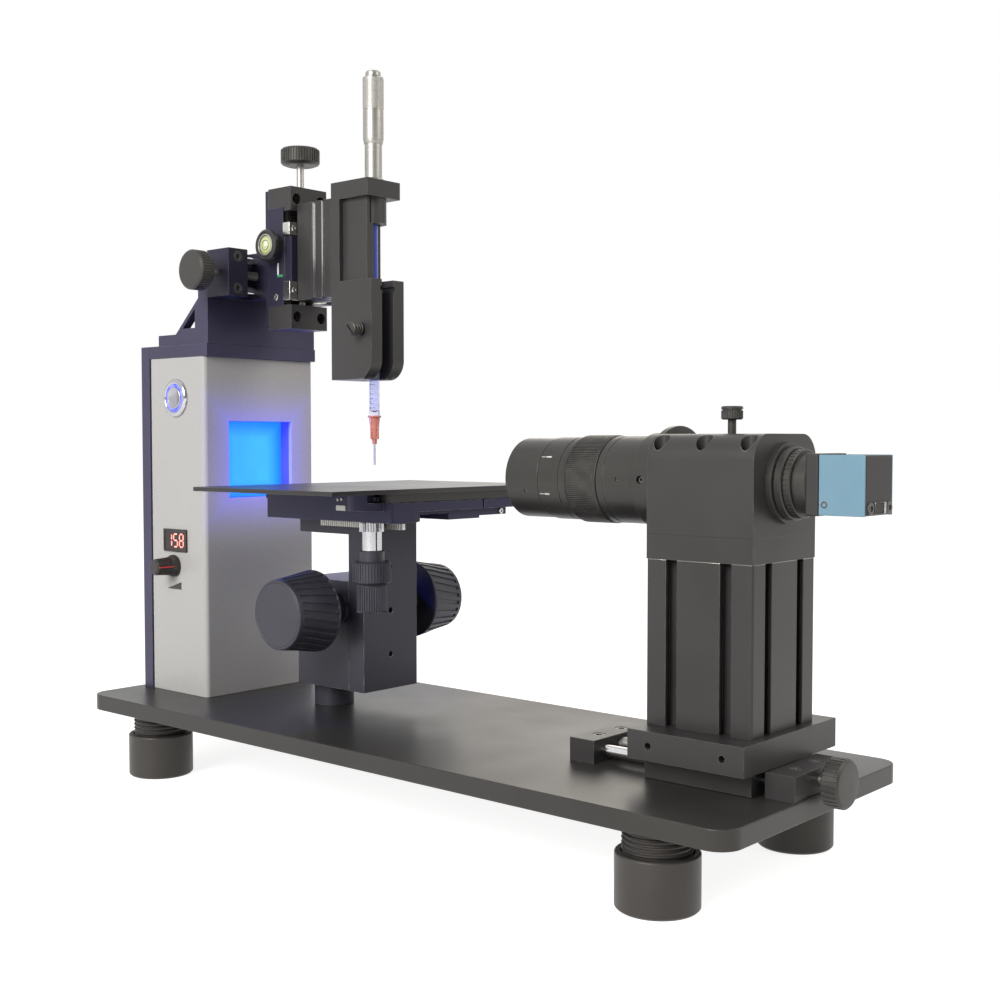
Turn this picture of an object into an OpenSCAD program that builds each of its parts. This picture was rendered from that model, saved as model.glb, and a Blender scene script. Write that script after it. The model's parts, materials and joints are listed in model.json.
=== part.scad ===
// Contact angle goniometer: a light tower with a syringe head, a sample stage and a camera
// column on one base plate. X runs along the plate towards the camera, Z is up, and the
// origin is under the middle of the whole instrument, on the surface it stands on.

/* [Base and feet] */
// Length of the base plate
plate_l = 490; // [470:5:520]
// Width of the base plate
plate_w = 172; // [160:2:190]
// Thickness of the base plate
plate_t = 10; // [8:1:14]
// Radius of the base plate's corners
plate_corner_r = 12; // [6:1:18]
// Diameter of a levelling foot
foot_d = 40.5; // [38:0.5:44]
// Height of a levelling foot's cup
foot_h = 27; // [22:1:32]
// Gap between the plate and a foot's cup at mid travel
foot_gap = 12; // [10:1:14]
// Diameter of the threaded stud over a foot
stud_d = 34; // [30:0.5:35]

/* [Light tower] */
// Length of the tower's shell, along the base
shell_l = 60; // [56:1:66]
// Width of the tower
tower_w = 92; // [86:1:100]
// Height of the tower's shell
shell_h = 222; // [216:1:234]
// Wall of the tower's shell
shell_wall = 3; // [2:0.5:4]
// Thickness of the tower's back plate
back_t = 9; // [6:0.5:12]
// Thickness of the tower's top plate
top_t = 8.4; // [6:0.2:12]
// Width of the light window
window_w = 53; // [46:1:58]
// Height of the light window
window_h = 50.5; // [44:0.5:52]
// Height of the window's lower edge over the base plate
window_z = 129.8; // [124:0.2:131]
// Depth of the diffuser behind the tower's face
window_recess = 11; // [8:0.5:14]

/* [Tower controls] */
// Diameter of the power button's bezel
bezel_d = 25; // [24:0.5:28]
// Diameter of the power button's moving cap
button_d = 14.5; // [12:0.5:16]
// Width of the dimmer's display
display_w = 25.2; // [22:0.2:28]
// Height of the dimmer's display
display_h = 15; // [12:0.5:17]
// Diameter of the dimmer knob's skirt
dimmer_d = 14.6; // [13:0.2:18]
// Length of the dimmer knob
dimmer_l = 16; // [12:0.5:20]

/* [Mini slides] */
// Length of each mini slide
slide_l = 90; // [88:1:94]
// Width of each mini slide
slide_w = 30; // [29:0.5:31]
// Depth of each mini slide
slide_d = 22; // [20:0.5:23]
// Diameter of a mini slide's knob
knob_d = 25; // [22:0.5:26]
// Thickness of a mini slide's knob
knob_t = 11; // [8:0.5:13]

/* [Syringe head] */
// Width of the syringe holder
holder_w = 27.6; // [26:0.2:30]
// Height of the syringe holder
holder_h = 121; // [118:0.5:126]
// Outer diameter of the syringe barrel
barrel_d = 6.4; // [6.2:0.1:6.8]
// Diameter of the plunger rod
plunger_d = 5; // [4.4:0.1:5.2]
// Diameter of the micrometer's thimble
thimble_d = 12.9; // [12.5:0.1:14]
// Length of the needle below its hub
needle_l = 13; // [8:0.5:16]

/* [Sample stage] */
// Length of the sample plate, across the base
sample_l = 183; // [170:1:190]
// Width of the sample plate, along the base
sample_w = 123; // [118:1:126]
// Length of the stage's body, along the base
stage_l = 111; // [108:1:114]
// Width of the stage's body, across the base
stage_w = 80; // [78:1:84]
// Width of the focus block and its arm
block_w = 45.4; // [42:0.2:48]
// Height of the focus block
block_h = 67; // [64:1:72]
// Largest diameter of a focus knob
focus_d = 49.4; // [46:0.2:50]

/* [Camera column] */
// Length of the camera rail
rail_l = 131.8; // [128:0.2:136]
// Side of the square column
column_w = 60; // [58:1:62]
// Height of the column
column_h = 82.3; // [76:0.5:90]
// Height of the lens block
lens_block_h = 49.3; // [48:0.1:54]
// Diameter of the lens's front barrel
lens_d = 43.4; // [40:0.2:44]
// Side of the camera's square section
camera_w = 29; // [27:0.5:34]
// Length of the camera
camera_l = 30; // [27:0.5:34]

/* [Hidden] */
$fn = 48;

// Clearances, and the overrun of every cut
overrun = 1;
gap = 0.3;
fit = 0.05;
seat = 0.01;

// Base and feet
foot_inset_x = 50;
foot_inset_y = 21;
stud_engaged = 14;
stud_clear = 0.3;
stud_groove = 1.2;
stud_pitch = 2.4;
foot_edge = 1.2;
left_end = -plate_l / 2;
foot_x = plate_l / 2 - foot_inset_x;
foot_y = plate_w / 2 - foot_inset_y;
stand_h = plate_t + foot_gap + foot_h;
foot_places = [[-foot_x, -foot_y], [foot_x, -foot_y], [foot_x, foot_y], [-foot_x, foot_y]];

// Tower
tower_inset = 5;
shell_edge_r = 3;
top_lip = 3;
tower_x0 = left_end + tower_inset;
shell_x0 = tower_x0 + back_t;
shell_x1 = shell_x0 + shell_l;
flange_x1 = shell_x1 + top_lip;
tower_top = shell_h + top_t;
tower_y = tower_w / 2;

// Light box behind the window
lining_t = 1.5;
diffuser_t = 3;
led_gap = 8;
led_size = 4;
led_h = 2;
led_count = 3;
board_t = 1.6;
diffuser_x1 = shell_x1 - window_recess;
led_board_x1 = diffuser_x1 - diffuser_t - led_gap;
light_box_x0 = led_board_x1 - board_t - lining_t;
window_y = window_w / 2;
window_top = window_z + window_h;

// Controls on the tower's near face
button_from_front = 30;
button_drop = 26.4;
button_z = shell_h - button_drop;
bezel_lip = 2.5;
switch_d = 21.8;
switch_depth = 14;
nut_d = 26;
nut_t = 3.5;
button_travel = 2;
button_l = 9;
display_from_front = 32;
display_z = 101.5;
display_lip = 1.2;
display_rim = 1.4;
digit_recess = 0.5;
dimmer_from_front = 34;
dimmer_z = 84.5;
dimmer_body_d = 12;
dimmer_skirt_l = 4;
dimmer_shaft_d = 6;
dimmer_shaft_in = 12;
pot_bush_d = 9;
pot_d = 16;
board_depth = 16;
board_l = 32;
board_z0 = 72;
board_z1 = 118;
button_x = shell_x1 - button_from_front;
display_x = shell_x1 - display_from_front;
dimmer_x = shell_x1 - dimmer_from_front;
inner_y = -tower_y + shell_wall;
board_y = -tower_y + board_depth;
inlet_z = 25;
inlet_d = 11;
inlet_flange_d = 15;
inlet_flange_t = 1.5;
inlet_l = 20;
jack_d = 5.5;
jack_pin_d = 2;
jack_depth = 9;

// Bracket on the tower
bracket_l = 53.5;
bracket_w = slide_l;
bracket_base_t = 7;
bracket_flange_t = 10;
bracket_drop = 1;
gusset_t = 6;
gusset_l = 24.4;
gusset_h = 22.3;
gusset_hole_share = 0.55;

// Mini slides: one for the cross travel and one for the height
slide_end_l = 15.2;
slide_bar_t = 4;
slide_rod_d = 5;
slide_rod_pitch = 19;
slide_screw_d = 6;
slide_shaft_d = 4.5;
slide_seat_share = 0.22;
mount_pitch = 20;
mount_hole_d = 4.2;
mount_sink_d = 7;
mount_sink_h = 4.2;
screw_head_d = 6.8;
screw_head_h = 4;
screw_shank_d = 4;
socket_share = 0.55;
cross_rise = 44;
cross_axis = 11;
cross_out = 10.5;
cross_carriage_l = 30;
cross_x0 = flange_x1;
cross_x1 = cross_x0 + slide_d;
cross_z = tower_top + cross_rise;
flange_top = cross_z + slide_w / 2 - bracket_drop;
adaptor_t = 3;
adaptor_inset = 1;
adaptor_l = slide_l - 2 * adaptor_inset;
z_axis = 14;
z_out = 15.3;
z_rise = 9.6;
z_carriage_free = 10.3;
z_carriage_low = 2.4;
z_x0 = cross_x1 + adaptor_t;
z_x1 = z_x0 + slide_d;
z_mid = cross_z + z_rise;
rod_seat = slide_end_l * slide_seat_share;
inner_l = slide_l - 2 * slide_end_l;
z_carriage_l = inner_l - z_carriage_free;

// Carriage of the height slide, its clamps and the spacers in front
clamp_w = 6.7;
clamp_t = 6.6;
clamp_top_l = 8;
clamp_low_l = 12;
carriage_z0 = z_mid - z_carriage_low - z_carriage_l / 2;
carriage_z1 = carriage_z0 + z_carriage_l;
spacer_w = 20;
spacer_h = 61;
strip_inset = 1;
strip_w = 18;
spacer_ts = [14, 6, 11.1];
strip_ts = [3, 2];
stack_x0 = z_x1 + gap;
strip_x1 = stack_x0 + spacer_ts[0];
spacer_x2 = strip_x1 + strip_ts[0];
strip_x3 = spacer_x2 + spacer_ts[1];
spacer_x4 = strip_x3 + strip_ts[1];
holder_x0 = spacer_x4 + spacer_ts[2];

// Bubble level on the height slide
level_d = 20;
level_l = 9.4;
level_glass_d = 14;
level_glass_drop = 1;
level_out = 7.3;
level_up = 8;

// Syringe holder
holder_drop = 79;
spine_t = 7.6;
top_block_l = 32.6;
top_block_h = 10.5;
clamp_block_l = 35.6;
clamp_block_h = 60.5;
clamp_corner_r = 12;
web_w = 21;
web_l = 28.6;
syringe_out = 23.6;
syringe_x = holder_x0 + syringe_out;
slot_w = 9.7;
slot_back = 5;
bush_d = 15.7;
bush_h = 15.5;
bush_clear = 0.25;
bush_floor = 3;
shank_d = 9.5;
cap_slot_d = 12.4;
cap_slot_h = 3.2;
cap_slot_drop = 4;
holder_z0 = z_mid - holder_drop;
holder_z1 = holder_z0 + holder_h;
clamp_z1 = holder_z0 + clamp_block_h;
bush_z1 = holder_z1 - top_block_h;
bush_z0 = bush_z1 - bush_h;
clamp_screw_z = holder_z0 + clamp_block_h / 2;
clamp_screw_out = 2.5;
clamp_screw_d = 4;
clamp_head_d = 8.5;
clamp_head_l = 9;
clamp_slot_t = 1.2;

// Micrometer over the syringe
sleeve_d = 10.6;
sleeve_show = 22.6;
sleeve_hidden = 10;
thimble_skirt_l = 20.6;
thimble_grip_l = 19.6;
thimble_depth = 36;
thimble_grip_in = 0.1;
thimble_cut = 0.3;
thimble_ribs = 36;
ratchet_d = 9.4;
ratchet_l = 4;
plunger_travel = 20;
sleeve_z1 = holder_z1 + sleeve_show;
thimble_z1 = sleeve_z1 + thimble_skirt_l;
grip_z1 = thimble_z1 + thimble_grip_l;
rod_z1 = sleeve_z1 + thimble_depth;

// Syringe
flange_d = 11.6;
flange_t = 2;
barrel_below = 22;
barrel_floor = 2;
nose_d = 4;
nose_l = 6;
nose_bore = 1.5;
hub_d = 7.4;
hub_tip_d = 3;
hub_flange_d = 8.2;
hub_flange_t = 1.2;
hub_l = 17.5;
needle_d = 1.5;
needle_bore = 0.8;
needle_in = 4;
plunger_stop = 5;
barrel_flange_z0 = clamp_z1 - cap_slot_drop - cap_slot_h;
barrel_z0 = holder_z0 - barrel_below;
hub_z1 = barrel_z0 - seat;
hub_z0 = hub_z1 - hub_l;
needle_z0 = hub_z0 - needle_l;
plunger_z0 = barrel_z0 + barrel_floor + plunger_travel + plunger_stop;

// Focus block, its arm and the knobs
block_from_tower = 63.5;
block_l = 46.7;
post_d = 25;
post_h = 15;
post_out = 8.5;
shaft_from_back = 35.5;
shaft_up = 50;
focus_shaft_d = 8;
focus_boss_d = 20;
focus_boss_l = 9.5;
arm_t = 13.2;
head_t = 9;
head_l = 57.7;
head_rise = 37.7;
head_rail_w = 24;
head_rail_h = 4;
arm_hole_d = 2.5;
arm_sink_d = 3.6;
arm_hole_first = 21.4;
arm_hole_pitch = 27;
knob_inner_y = 40.4;
knob_outer_y = 69.3;
knob_rim = 3;
knob_cone_share = 0.83;
knob_face_edge = 2;
knob_hub_d = 16;
knob_hub_in = 7;
block_x0 = shell_x1 + block_from_tower;
block_x1 = block_x0 + block_l;
block_z0 = post_h;
block_z1 = block_z0 + block_h;
shaft_x = block_x0 + shaft_from_back;
shaft_z = block_z0 + shaft_up;
block_y = block_w / 2;
arm_x0 = block_x1 + gap;
arm_x1 = arm_x0 + arm_t;
head_z1 = block_z1 + head_rise;
head_z0 = head_z1 - head_t;
head_x0 = arm_x1 - head_l;

// Gears: module, addendum, dedendum, backlash and pressure angle
focus_module = 1;
focus_teeth = 18;
focus_gear_w = 8;
focus_gear_r = focus_module * focus_teeth / 2;
stage_x_module = 0.6;
stage_x_teeth = 22;
stage_x_gear_h = 5;
stage_x_gear_r = stage_x_module * stage_x_teeth / 2;
stage_y_module = 0.8;
stage_y_teeth = 24;
stage_y_gear_h = 3;
stage_y_gear_r = stage_y_module * stage_y_teeth / 2;
dedendum_share = 1.25;
backlash_share = 0.1;
pressure_angle = 20;
focus_rack_z0 = 26;
focus_rack_z1 = 77;
focus_rack_w = 8;
focus_rack_x = shaft_x + focus_gear_r;

// Stage body, sample plate and their coaxial knobs
stage_from_head = 12;
stage_body_h = 11.7;
guide_h = 5.5;
stage_corner_r = 8;
sample_t = 2.5;
sample_from_stage = 4.7;
rail_bar_l = 111;
knob_from_end = 20.1;
knob_from_side = 4;
cover_d = 29;
cover_up = 7;
undercut_w = 4;
undercut_h = 6;
undercut_from_side = 22;
far_rail_w = 16;
far_rail_l = 31;
far_bracket_l = 25;
far_bracket_w = 30;
far_bracket_up = 1.5;
stage_x0 = head_x0 - stage_from_head;
stage_x1 = stage_x0 + stage_l;
stage_z0 = head_z1 + gap;
stage_z1 = stage_z0 + stage_body_h;
guide_z1 = stage_z1 + guide_h;
stage_y = stage_w / 2;
sample_z0 = guide_z1 + gap;
sample_z1 = sample_z0 + sample_t;
sample_x0 = stage_x0 - sample_from_stage;
axis_x = stage_x1 - knob_from_end;
axis_y = -stage_y + knob_from_side;
rail_bar_x0 = axis_x + stage_y_gear_r;
rail_bar_w = stage_x1 - rail_bar_x0;
guide_x1 = rail_bar_x0 - stage_y_module - gap;
undercut_z1 = stage_z0 + undercut_h;
y_gear_z0 = stage_z1 + gap;
y_shaft_d = 4;
x_tube_d = 11.7;
x_journal_d = 7;
x_journal_in = 6;
x_tube_l = 11;
x_neck_d = 14.6;
x_neck_l = 6.4;
x_knob_d = 22.6;
x_knob_l = 12.9;
y_knob_d = 17.8;
y_knob_l = 16.4;
knob_ribs = 36;
knob_rib_cut = 0.6;
x_gear_z0 = stage_z0 - gap - stage_x_gear_h;
x_tube_z0 = x_gear_z0 - x_tube_l;
x_neck_z0 = x_tube_z0 - x_neck_l;
x_knob_z0 = x_neck_z0 - x_knob_l;
y_knob_z1 = x_knob_z0 - gap;
stage_rack_l = 69;
stage_rack_from_axis = 51;
stage_rack_y = axis_y + stage_x_gear_r;
stage_rack_t = 3;
rack_tab_l = 14;
stage_rack_h = 3.5;
rack_z1 = head_z1 - gap;

// Camera rail
rail_inset = 1.2;
rail_end_l = 15.8;
rail_w = 50;
rail_end_h = 12.3;
rail_rest = 35.2;
rail_rod_d = 6;
rail_rod_pitch = 33;
rail_axis_z = 6.4;
rail_screw_d = 8;
rail_shaft_d = 6;
rail_knob_d = 24;
rail_knob_t = 9.3;
rail_knob_gap = 5.2;
rail_carriage_l = 60.6;
rail_carriage_t = 12.4;
slide_plate_l = 65.4;
slide_plate_w = 89.6;
slide_plate_t = 14.5;
side_hole_d = 3.4;
side_hole_depth = 8;
side_hole_inset = 12;
rail_x1 = plate_l / 2 - rail_inset;
rail_x0 = rail_x1 - rail_l;
rail_in_x0 = rail_x0 + rail_end_l;
rail_in_x1 = rail_x1 - rail_end_l;
slide_step = 0.6;
rail_carriage_x0 = rail_in_x0 + rail_rest;
rail_carriage_z1 = gap + rail_carriage_t;
column_x0 = rail_carriage_x0 + slide_step;
slide_plate_z1 = rail_carriage_z1 + slide_plate_t;
knob_bore_in = 4;

// Column, lens block and lens
slot_open = 6.2;
slot_lip = 2;
slot_wide = 10;
slot_deep = 4;
slot_pitch = 30.6;
core_d = 6;
core_w = 12;
column_edge_r = 1.5;
cap_t = 12.2;
lens_block_r = 13;
lens_block_screw_d = 8;
lens_block_screw_y = 25;
lens_block_screw_floor = 38;
lens_axis_up = 25.5;
column_z1 = slide_plate_z1 + column_h;
cap_z1 = column_z1 + cap_t;
lens_z = cap_z1 + lens_axis_up;
lens_block_z1 = cap_z1 + lens_block_h;
column_x1 = column_x0 + column_w;
tail_d = 39.2;
tail_out = 3;
flange_disc_d = 56;
flange_disc_t = 3.5;
collar_d = 48.8;
collar_l = 11;
rear_d = 45.6;
rear_l = 23;
zoom_d = 46.6;
zoom_l = 20.4;
zoom_step_l = 4.6;
index_d = 44.4;
index_l = 14;
front_l = 23.3;
core_lens_d = 36;
lens_bore_d = 28;
front_lens_d = 36;
front_lens_t = 5;
front_lens_in = 3;
rear_lens_d = 30;
rear_lens_t = 4;
flange_disc_x0 = column_x0 - flange_disc_t;
collar_x0 = flange_disc_x0 - collar_l;
rear_x0 = collar_x0 - rear_l;
zoom_x0 = rear_x0 - zoom_l;
zoom_step_x0 = zoom_x0 - zoom_step_l;
index_x0 = zoom_step_x0 - index_l;
front_x0 = index_x0 - front_l;
tail_x1 = column_x1 + tail_out;
thumb_d = 4.2;
thumb_head_d = 10.8;
thumb_head_h = 6.7;
thumb_neck = 7;

// Camera
adapter_ring_d = 35.4;
adapter_ring_l = 4;
adapter_lock_d = 33;
adapter_lock_l = 4;
adapter_cone_d = 28.6;
adapter_cone_l = 7;
adapter_bore_d = 22;
camera_edge_r = 1.5;
socket_l = 13;
socket_h = 6;
socket_out = 1;
adapter_x0 = tail_x1;
camera_x0 = adapter_x0 + adapter_ring_l + adapter_lock_l + adapter_cone_l;
camera_x1 = camera_x0 + camera_l;
right_end = camera_x1 + socket_out;
middle_x = (left_end + right_end) / 2;

// From the middle of the base plate's top to the model's own origin
module bench() {
    translate([-middle_x, 0, stand_h]) children();
}

module block(x, y, z) {
    translate([x[0], y[0], z[0]]) cube([x[1] - x[0], y[1] - y[0], z[1] - z[0]]);
}

module bar_x(x, d, y, z) {
    translate([x[0], y, z]) rotate([0, 90, 0]) cylinder(h = x[1] - x[0], d = d);
}

module bar_y(y, d, x, z) {
    translate([x, y[1], z]) rotate([90, 0, 0]) cylinder(h = y[1] - y[0], d = d);
}

module bar_z(z, d, x, y) {
    translate([x, y, z[0]]) cylinder(h = z[1] - z[0], d = d);
}

module rounded_rect(l, w, r) {
    hull_x = l / 2 - r;
    hull_y = w / 2 - r;
    square([l, 2 * hull_y], center = true);
    square([2 * hull_x, w], center = true);
    for (x = [-hull_x, hull_x], y = [-hull_y, hull_y]) translate([x, y]) circle(r = r);
}

// A wheel outline with grooves cut into its rim
function ribbed(r, cut, n) = [
    for (i = [0 : 2 * n - 1])
        let (a = 180 * i / n, q = i % 2 == 0 ? r : r - cut)
            [q * cos(a), q * sin(a)]
];

module ribbed_disc(d, h, cut, n) {
    linear_extrude(h) polygon(ribbed(d / 2, cut, n));
}

// Involute spur gear about Z, with a tooth space centred on +X
function roll(r, base) = r <= base ? 0 : tan(acos(base / r)) * 180 / PI - acos(base / r);

function half_tooth(r, m, n) =
    let (base = m * n * cos(pressure_angle) / 2)
        90 / n - backlash_share * 180 / PI / n + roll(m * n / 2, base) - roll(r, base);

function gear_points(m, n) = [
    for (i = [0 : n - 1])
        let (
            radii = [for (k = [0 : 3]) m * n / 2 - dedendum_share * m + k * (1 + dedendum_share) * m / 3],
            centre = 360 * (i + 1 / 2) / n
        )
            for (s = [-1, 1], k = [0 : 3])
                let (
                    r = radii[s < 0 ? k : 3 - k],
                    a = centre + s * half_tooth(r, m, n)
                )
                    [r * cos(a), r * sin(a)]
];

module gear(m, n, h) {
    linear_extrude(h) polygon(gear_points(m, n));
}

// Rack along +Y with its pitch line on X = 0 and a tooth centred on Y = 0, facing -X
module rack(m, low, high, back, h) {
    pitch = PI * m;
    half = pitch / 4 - backlash_share * m / 2;
    slope = tan(pressure_angle);
    points = [
        for (k = [low : high])
            for (p = [[dedendum_share, -1], [-1, -1], [-1, 1], [dedendum_share, 1]])
                [p[0] * m, k * pitch + p[1] * (half + p[0] * m * slope)]
    ];
    linear_extrude(h) polygon(concat(points, [
        [dedendum_share * m, (high + 1 / 2) * pitch],
        [back, (high + 1 / 2) * pitch],
        [back, (low - 1 / 2) * pitch],
        [dedendum_share * m, (low - 1 / 2) * pitch]
    ]));
}

module cap_screw(head_d, head_h, shank_d, shank_l) {
    difference() {
        union() {
            cylinder(h = head_h, d = head_d);
            translate([0, 0, -shank_l]) cylinder(h = shank_l, d = shank_d);
        }
        translate([0, 0, head_h / 2]) cylinder(h = head_h, d = head_d * socket_share, $fn = 6);
    }
}

// Base and feet

module base_plate() {
    color("#2b2a2a") bench()
        translate([0, 0, -plate_t]) linear_extrude(plate_t)
            rounded_rect(plate_l, plate_w, plate_corner_r);
}

module stud_profile() {
    r = stud_d / 2;
    rings = floor((foot_gap + stud_engaged) / stud_pitch);
    points = [
        for (k = [0 : rings - 1])
            for (p = [[r, 0], [r, 1 / 2], [r - stud_groove, 1 / 2], [r - stud_groove, 1]])
                [p[0], -(k + p[1]) * stud_pitch]
    ];
    polygon(concat([[0, 0]], points, [[0, -rings * stud_pitch]]));
}

module foot_studs() {
    color("#1d1d1d") bench()
        for (p = foot_places) translate([p[0], p[1], -plate_t]) rotate_extrude() stud_profile();
}

module foot_cup(place) {
    r = foot_d / 2;
    hole_r = stud_d / 2 + stud_clear;
    wall_low = foot_h - stud_engaged - foot_gap / 2 - 2 * gap;
    color("#262525") bench()
        translate([place[0], place[1], -stand_h]) rotate_extrude()
            polygon([
                [0, 0], [r - foot_edge, 0], [r, foot_edge], [r, foot_h - foot_edge / 2],
                [r - foot_edge / 2, foot_h], [hole_r, foot_h], [hole_r, wall_low], [0, wall_low]
            ]);
}

module foot_cup_1() { foot_cup(foot_places[0]); }

module foot_cup_2() { foot_cup(foot_places[1]); }

module foot_cup_3() { foot_cup(foot_places[2]); }

module foot_cup_4() { foot_cup(foot_places[3]); }

// Light tower

module shell_section(x0, x1, y, r) {
    translate([(x0 + x1) / 2, 0]) rounded_rect(x1 - x0, 2 * y, r);
}

module tower_shell() {
    color("#c9c6c6") bench() difference() {
        linear_extrude(shell_h) difference() {
            shell_section(shell_x0, shell_x1, tower_y, shell_edge_r);
            translate([shell_x0 - overrun, -tower_y + shell_wall])
                square([shell_l - shell_wall + overrun, tower_w - 2 * shell_wall]);
        }
        block([shell_x1 - shell_wall - overrun, shell_x1 + overrun], [-window_y, window_y],
            [window_z, window_top]);
        bar_y([-tower_y - overrun, inner_y + overrun], switch_d + 2 * fit, button_x, button_z);
        bar_y([-tower_y - overrun, inner_y + overrun], pot_bush_d + 2 * fit, dimmer_x, dimmer_z);
        display_body(fit, [-tower_y - overrun, inner_y + overrun]);
    }
}

module display_body(clear, y) {
    x = display_w / 2 - display_rim + clear;
    z = display_h / 2 - display_rim + clear;
    block([display_x - x, display_x + x], y, [display_z - z, display_z + z]);
}

module tower_back_plate() {
    color("#2b2a2a") bench() difference() {
        block([tower_x0, shell_x0], [-tower_y, tower_y], [0, tower_top]);
        bar_x([tower_x0 - overrun, shell_x0 + overrun], inlet_d + 2 * fit, 0, inlet_z);
        for (p = back_screw_places) bar_x([tower_x0 - overrun, tower_x0 + screw_head_h],
            screw_head_d + 2 * fit, p[0], p[1]);
        for (p = back_screw_places) bar_x([tower_x0, shell_x0 + overrun],
            screw_shank_d + 2 * fit, p[0], p[1]);
    }
}

back_screw_inset = 8;
back_screw_low = 12;
back_screw_y = tower_y - back_screw_inset;
back_screw_places = [
    for (y = [-back_screw_y, back_screw_y], z = [back_screw_low, shell_h / 2, shell_h - back_screw_low])
        [y, z]
];

module tower_top_plate() {
    color("#2b2a2a") bench()
        block([shell_x0, flange_x1], [-tower_y, tower_y], [shell_h, tower_top]);
}

module light_box() {
    outer = window_y + lining_t;
    color("#e9ecef") bench() difference() {
        block([light_box_x0, shell_x1 - shell_wall], [-outer, outer],
            [window_z - lining_t, window_top + lining_t]);
        block([light_box_x0 + lining_t, shell_x1], [-window_y, window_y], [window_z, window_top]);
    }
}

module window_diffuser() {
    color("#2f9bff") bench()
        block([diffuser_x1 - diffuser_t, diffuser_x1], [-window_y + fit, window_y - fit],
            [window_z + fit, window_top - fit]);
}

module electronics() {
    led_step_y = window_w / led_count;
    led_step_z = window_h / led_count;
    x = [display_x - board_l / 2, display_x + board_l / 2];
    color("#1d6b3a") bench() {
        block([led_board_x1 - board_t, led_board_x1], [-window_y + fit, window_y - fit],
            [window_z + fit, window_top - fit]);
        for (j = [0 : led_count - 1], k = [0 : led_count - 1])
            translate([led_board_x1, -window_y + (j + 1 / 2) * led_step_y - led_size / 2,
                window_z + (k + 1 / 2) * led_step_z - led_size / 2])
                cube([led_h, led_size, led_size]);
        block(x, [board_y, board_y + board_t], [board_z0, board_z1]);
        difference() {
            union() {
                bar_y([inner_y, board_y], pot_d, dimmer_x, dimmer_z);
                bar_y([-tower_y, inner_y], pot_bush_d, dimmer_x, dimmer_z);
            }
            bar_y([-tower_y - overrun, -tower_y + dimmer_shaft_in + gap],
                dimmer_shaft_d + 2 * fit, dimmer_x, dimmer_z);
        }
    }
}

module power_switch_body() {
    color("#d8d8da") bench() difference() {
        union() {
            bar_y([-tower_y - bezel_lip, -tower_y], bezel_d, button_x, button_z);
            bar_y([-tower_y, -tower_y + switch_depth], switch_d, button_x, button_z);
            bar_y([inner_y, inner_y + nut_t], nut_d, button_x, button_z);
        }
        bar_y([-tower_y - bezel_lip - overrun, -tower_y - bezel_lip + button_l + button_travel + gap],
            button_d + 2 * fit, button_x, button_z);
    }
}

module power_button() {
    color("#b9c4d6") bench()
        bar_y([-tower_y - bezel_lip, -tower_y - bezel_lip + button_l], button_d, button_x, button_z);
}

module display_module() {
    x = display_w / 2;
    z = display_h / 2;
    color("#171313") bench() difference() {
        union() {
            block([display_x - x, display_x + x], [-tower_y - display_lip, -tower_y],
                [display_z - z, display_z + z]);
            display_body(0, [-tower_y, board_y]);
        }
        display_body(0, [-tower_y - display_lip - overrun, -tower_y - display_lip + digit_recess]);
    }
}

module dimmer_knob() {
    y0 = -tower_y - gap - dimmer_l;
    color("#1b1a1a") bench() {
        bar_y([y0, -tower_y - gap - dimmer_skirt_l], dimmer_body_d, dimmer_x, dimmer_z);
        bar_y([-tower_y - gap - dimmer_skirt_l, -tower_y - gap], dimmer_d, dimmer_x, dimmer_z);
        bar_y([-tower_y - gap, -tower_y + dimmer_shaft_in], dimmer_shaft_d, dimmer_x, dimmer_z);
    }
}

module dc_inlet() {
    color("#141414") bench() {
        difference() {
            union() {
                bar_x([tower_x0 - inlet_flange_t, tower_x0], inlet_flange_d, 0, inlet_z);
                bar_x([tower_x0, tower_x0 + inlet_l], inlet_d, 0, inlet_z);
            }
            bar_x([tower_x0 - inlet_flange_t - overrun, tower_x0 + jack_depth], jack_d, 0, inlet_z);
        }
        bar_x([tower_x0, tower_x0 + jack_depth], jack_pin_d, 0, inlet_z);
    }
}

// Bracket and its screws

module gusset() {
    tip = [[0, 0], [-gusset_l, 0], [0, gusset_h]];
    middle = [-gusset_l / 3, gusset_h / 3];
    rotate([90, 0, 0]) linear_extrude(gusset_t) difference() {
        polygon(tip);
        polygon([for (p = tip) middle + (p - middle) * gusset_hole_share]);
    }
}

bracket_x0 = flange_x1 - bracket_l;
bracket_flange_x0 = flange_x1 - bracket_flange_t;
bracket_y = bracket_w / 2;
bracket_screw_inset = 10;
bracket_screw_places = [
    for (x = [bracket_x0 + bracket_screw_inset, bracket_flange_x0 - bracket_screw_inset])
        for (y = [-bracket_y / 2, bracket_y / 2]) [x, y]
];

module tower_bracket() {
    color("#2b2a2a") bench() difference() {
        union() {
            block([bracket_x0, flange_x1], [-bracket_y, bracket_y],
                [tower_top, tower_top + bracket_base_t]);
            block([bracket_flange_x0, flange_x1], [-bracket_y, bracket_y], [tower_top, flange_top]);
            for (y = [-bracket_y + gusset_t, bracket_y])
                translate([bracket_flange_x0, y, tower_top + bracket_base_t]) gusset();
        }
        for (p = bracket_screw_places)
            bar_z([tower_top - overrun, tower_top + bracket_base_t + overrun],
                screw_shank_d + 2 * fit, p[0], p[1]);
    }
}

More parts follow.
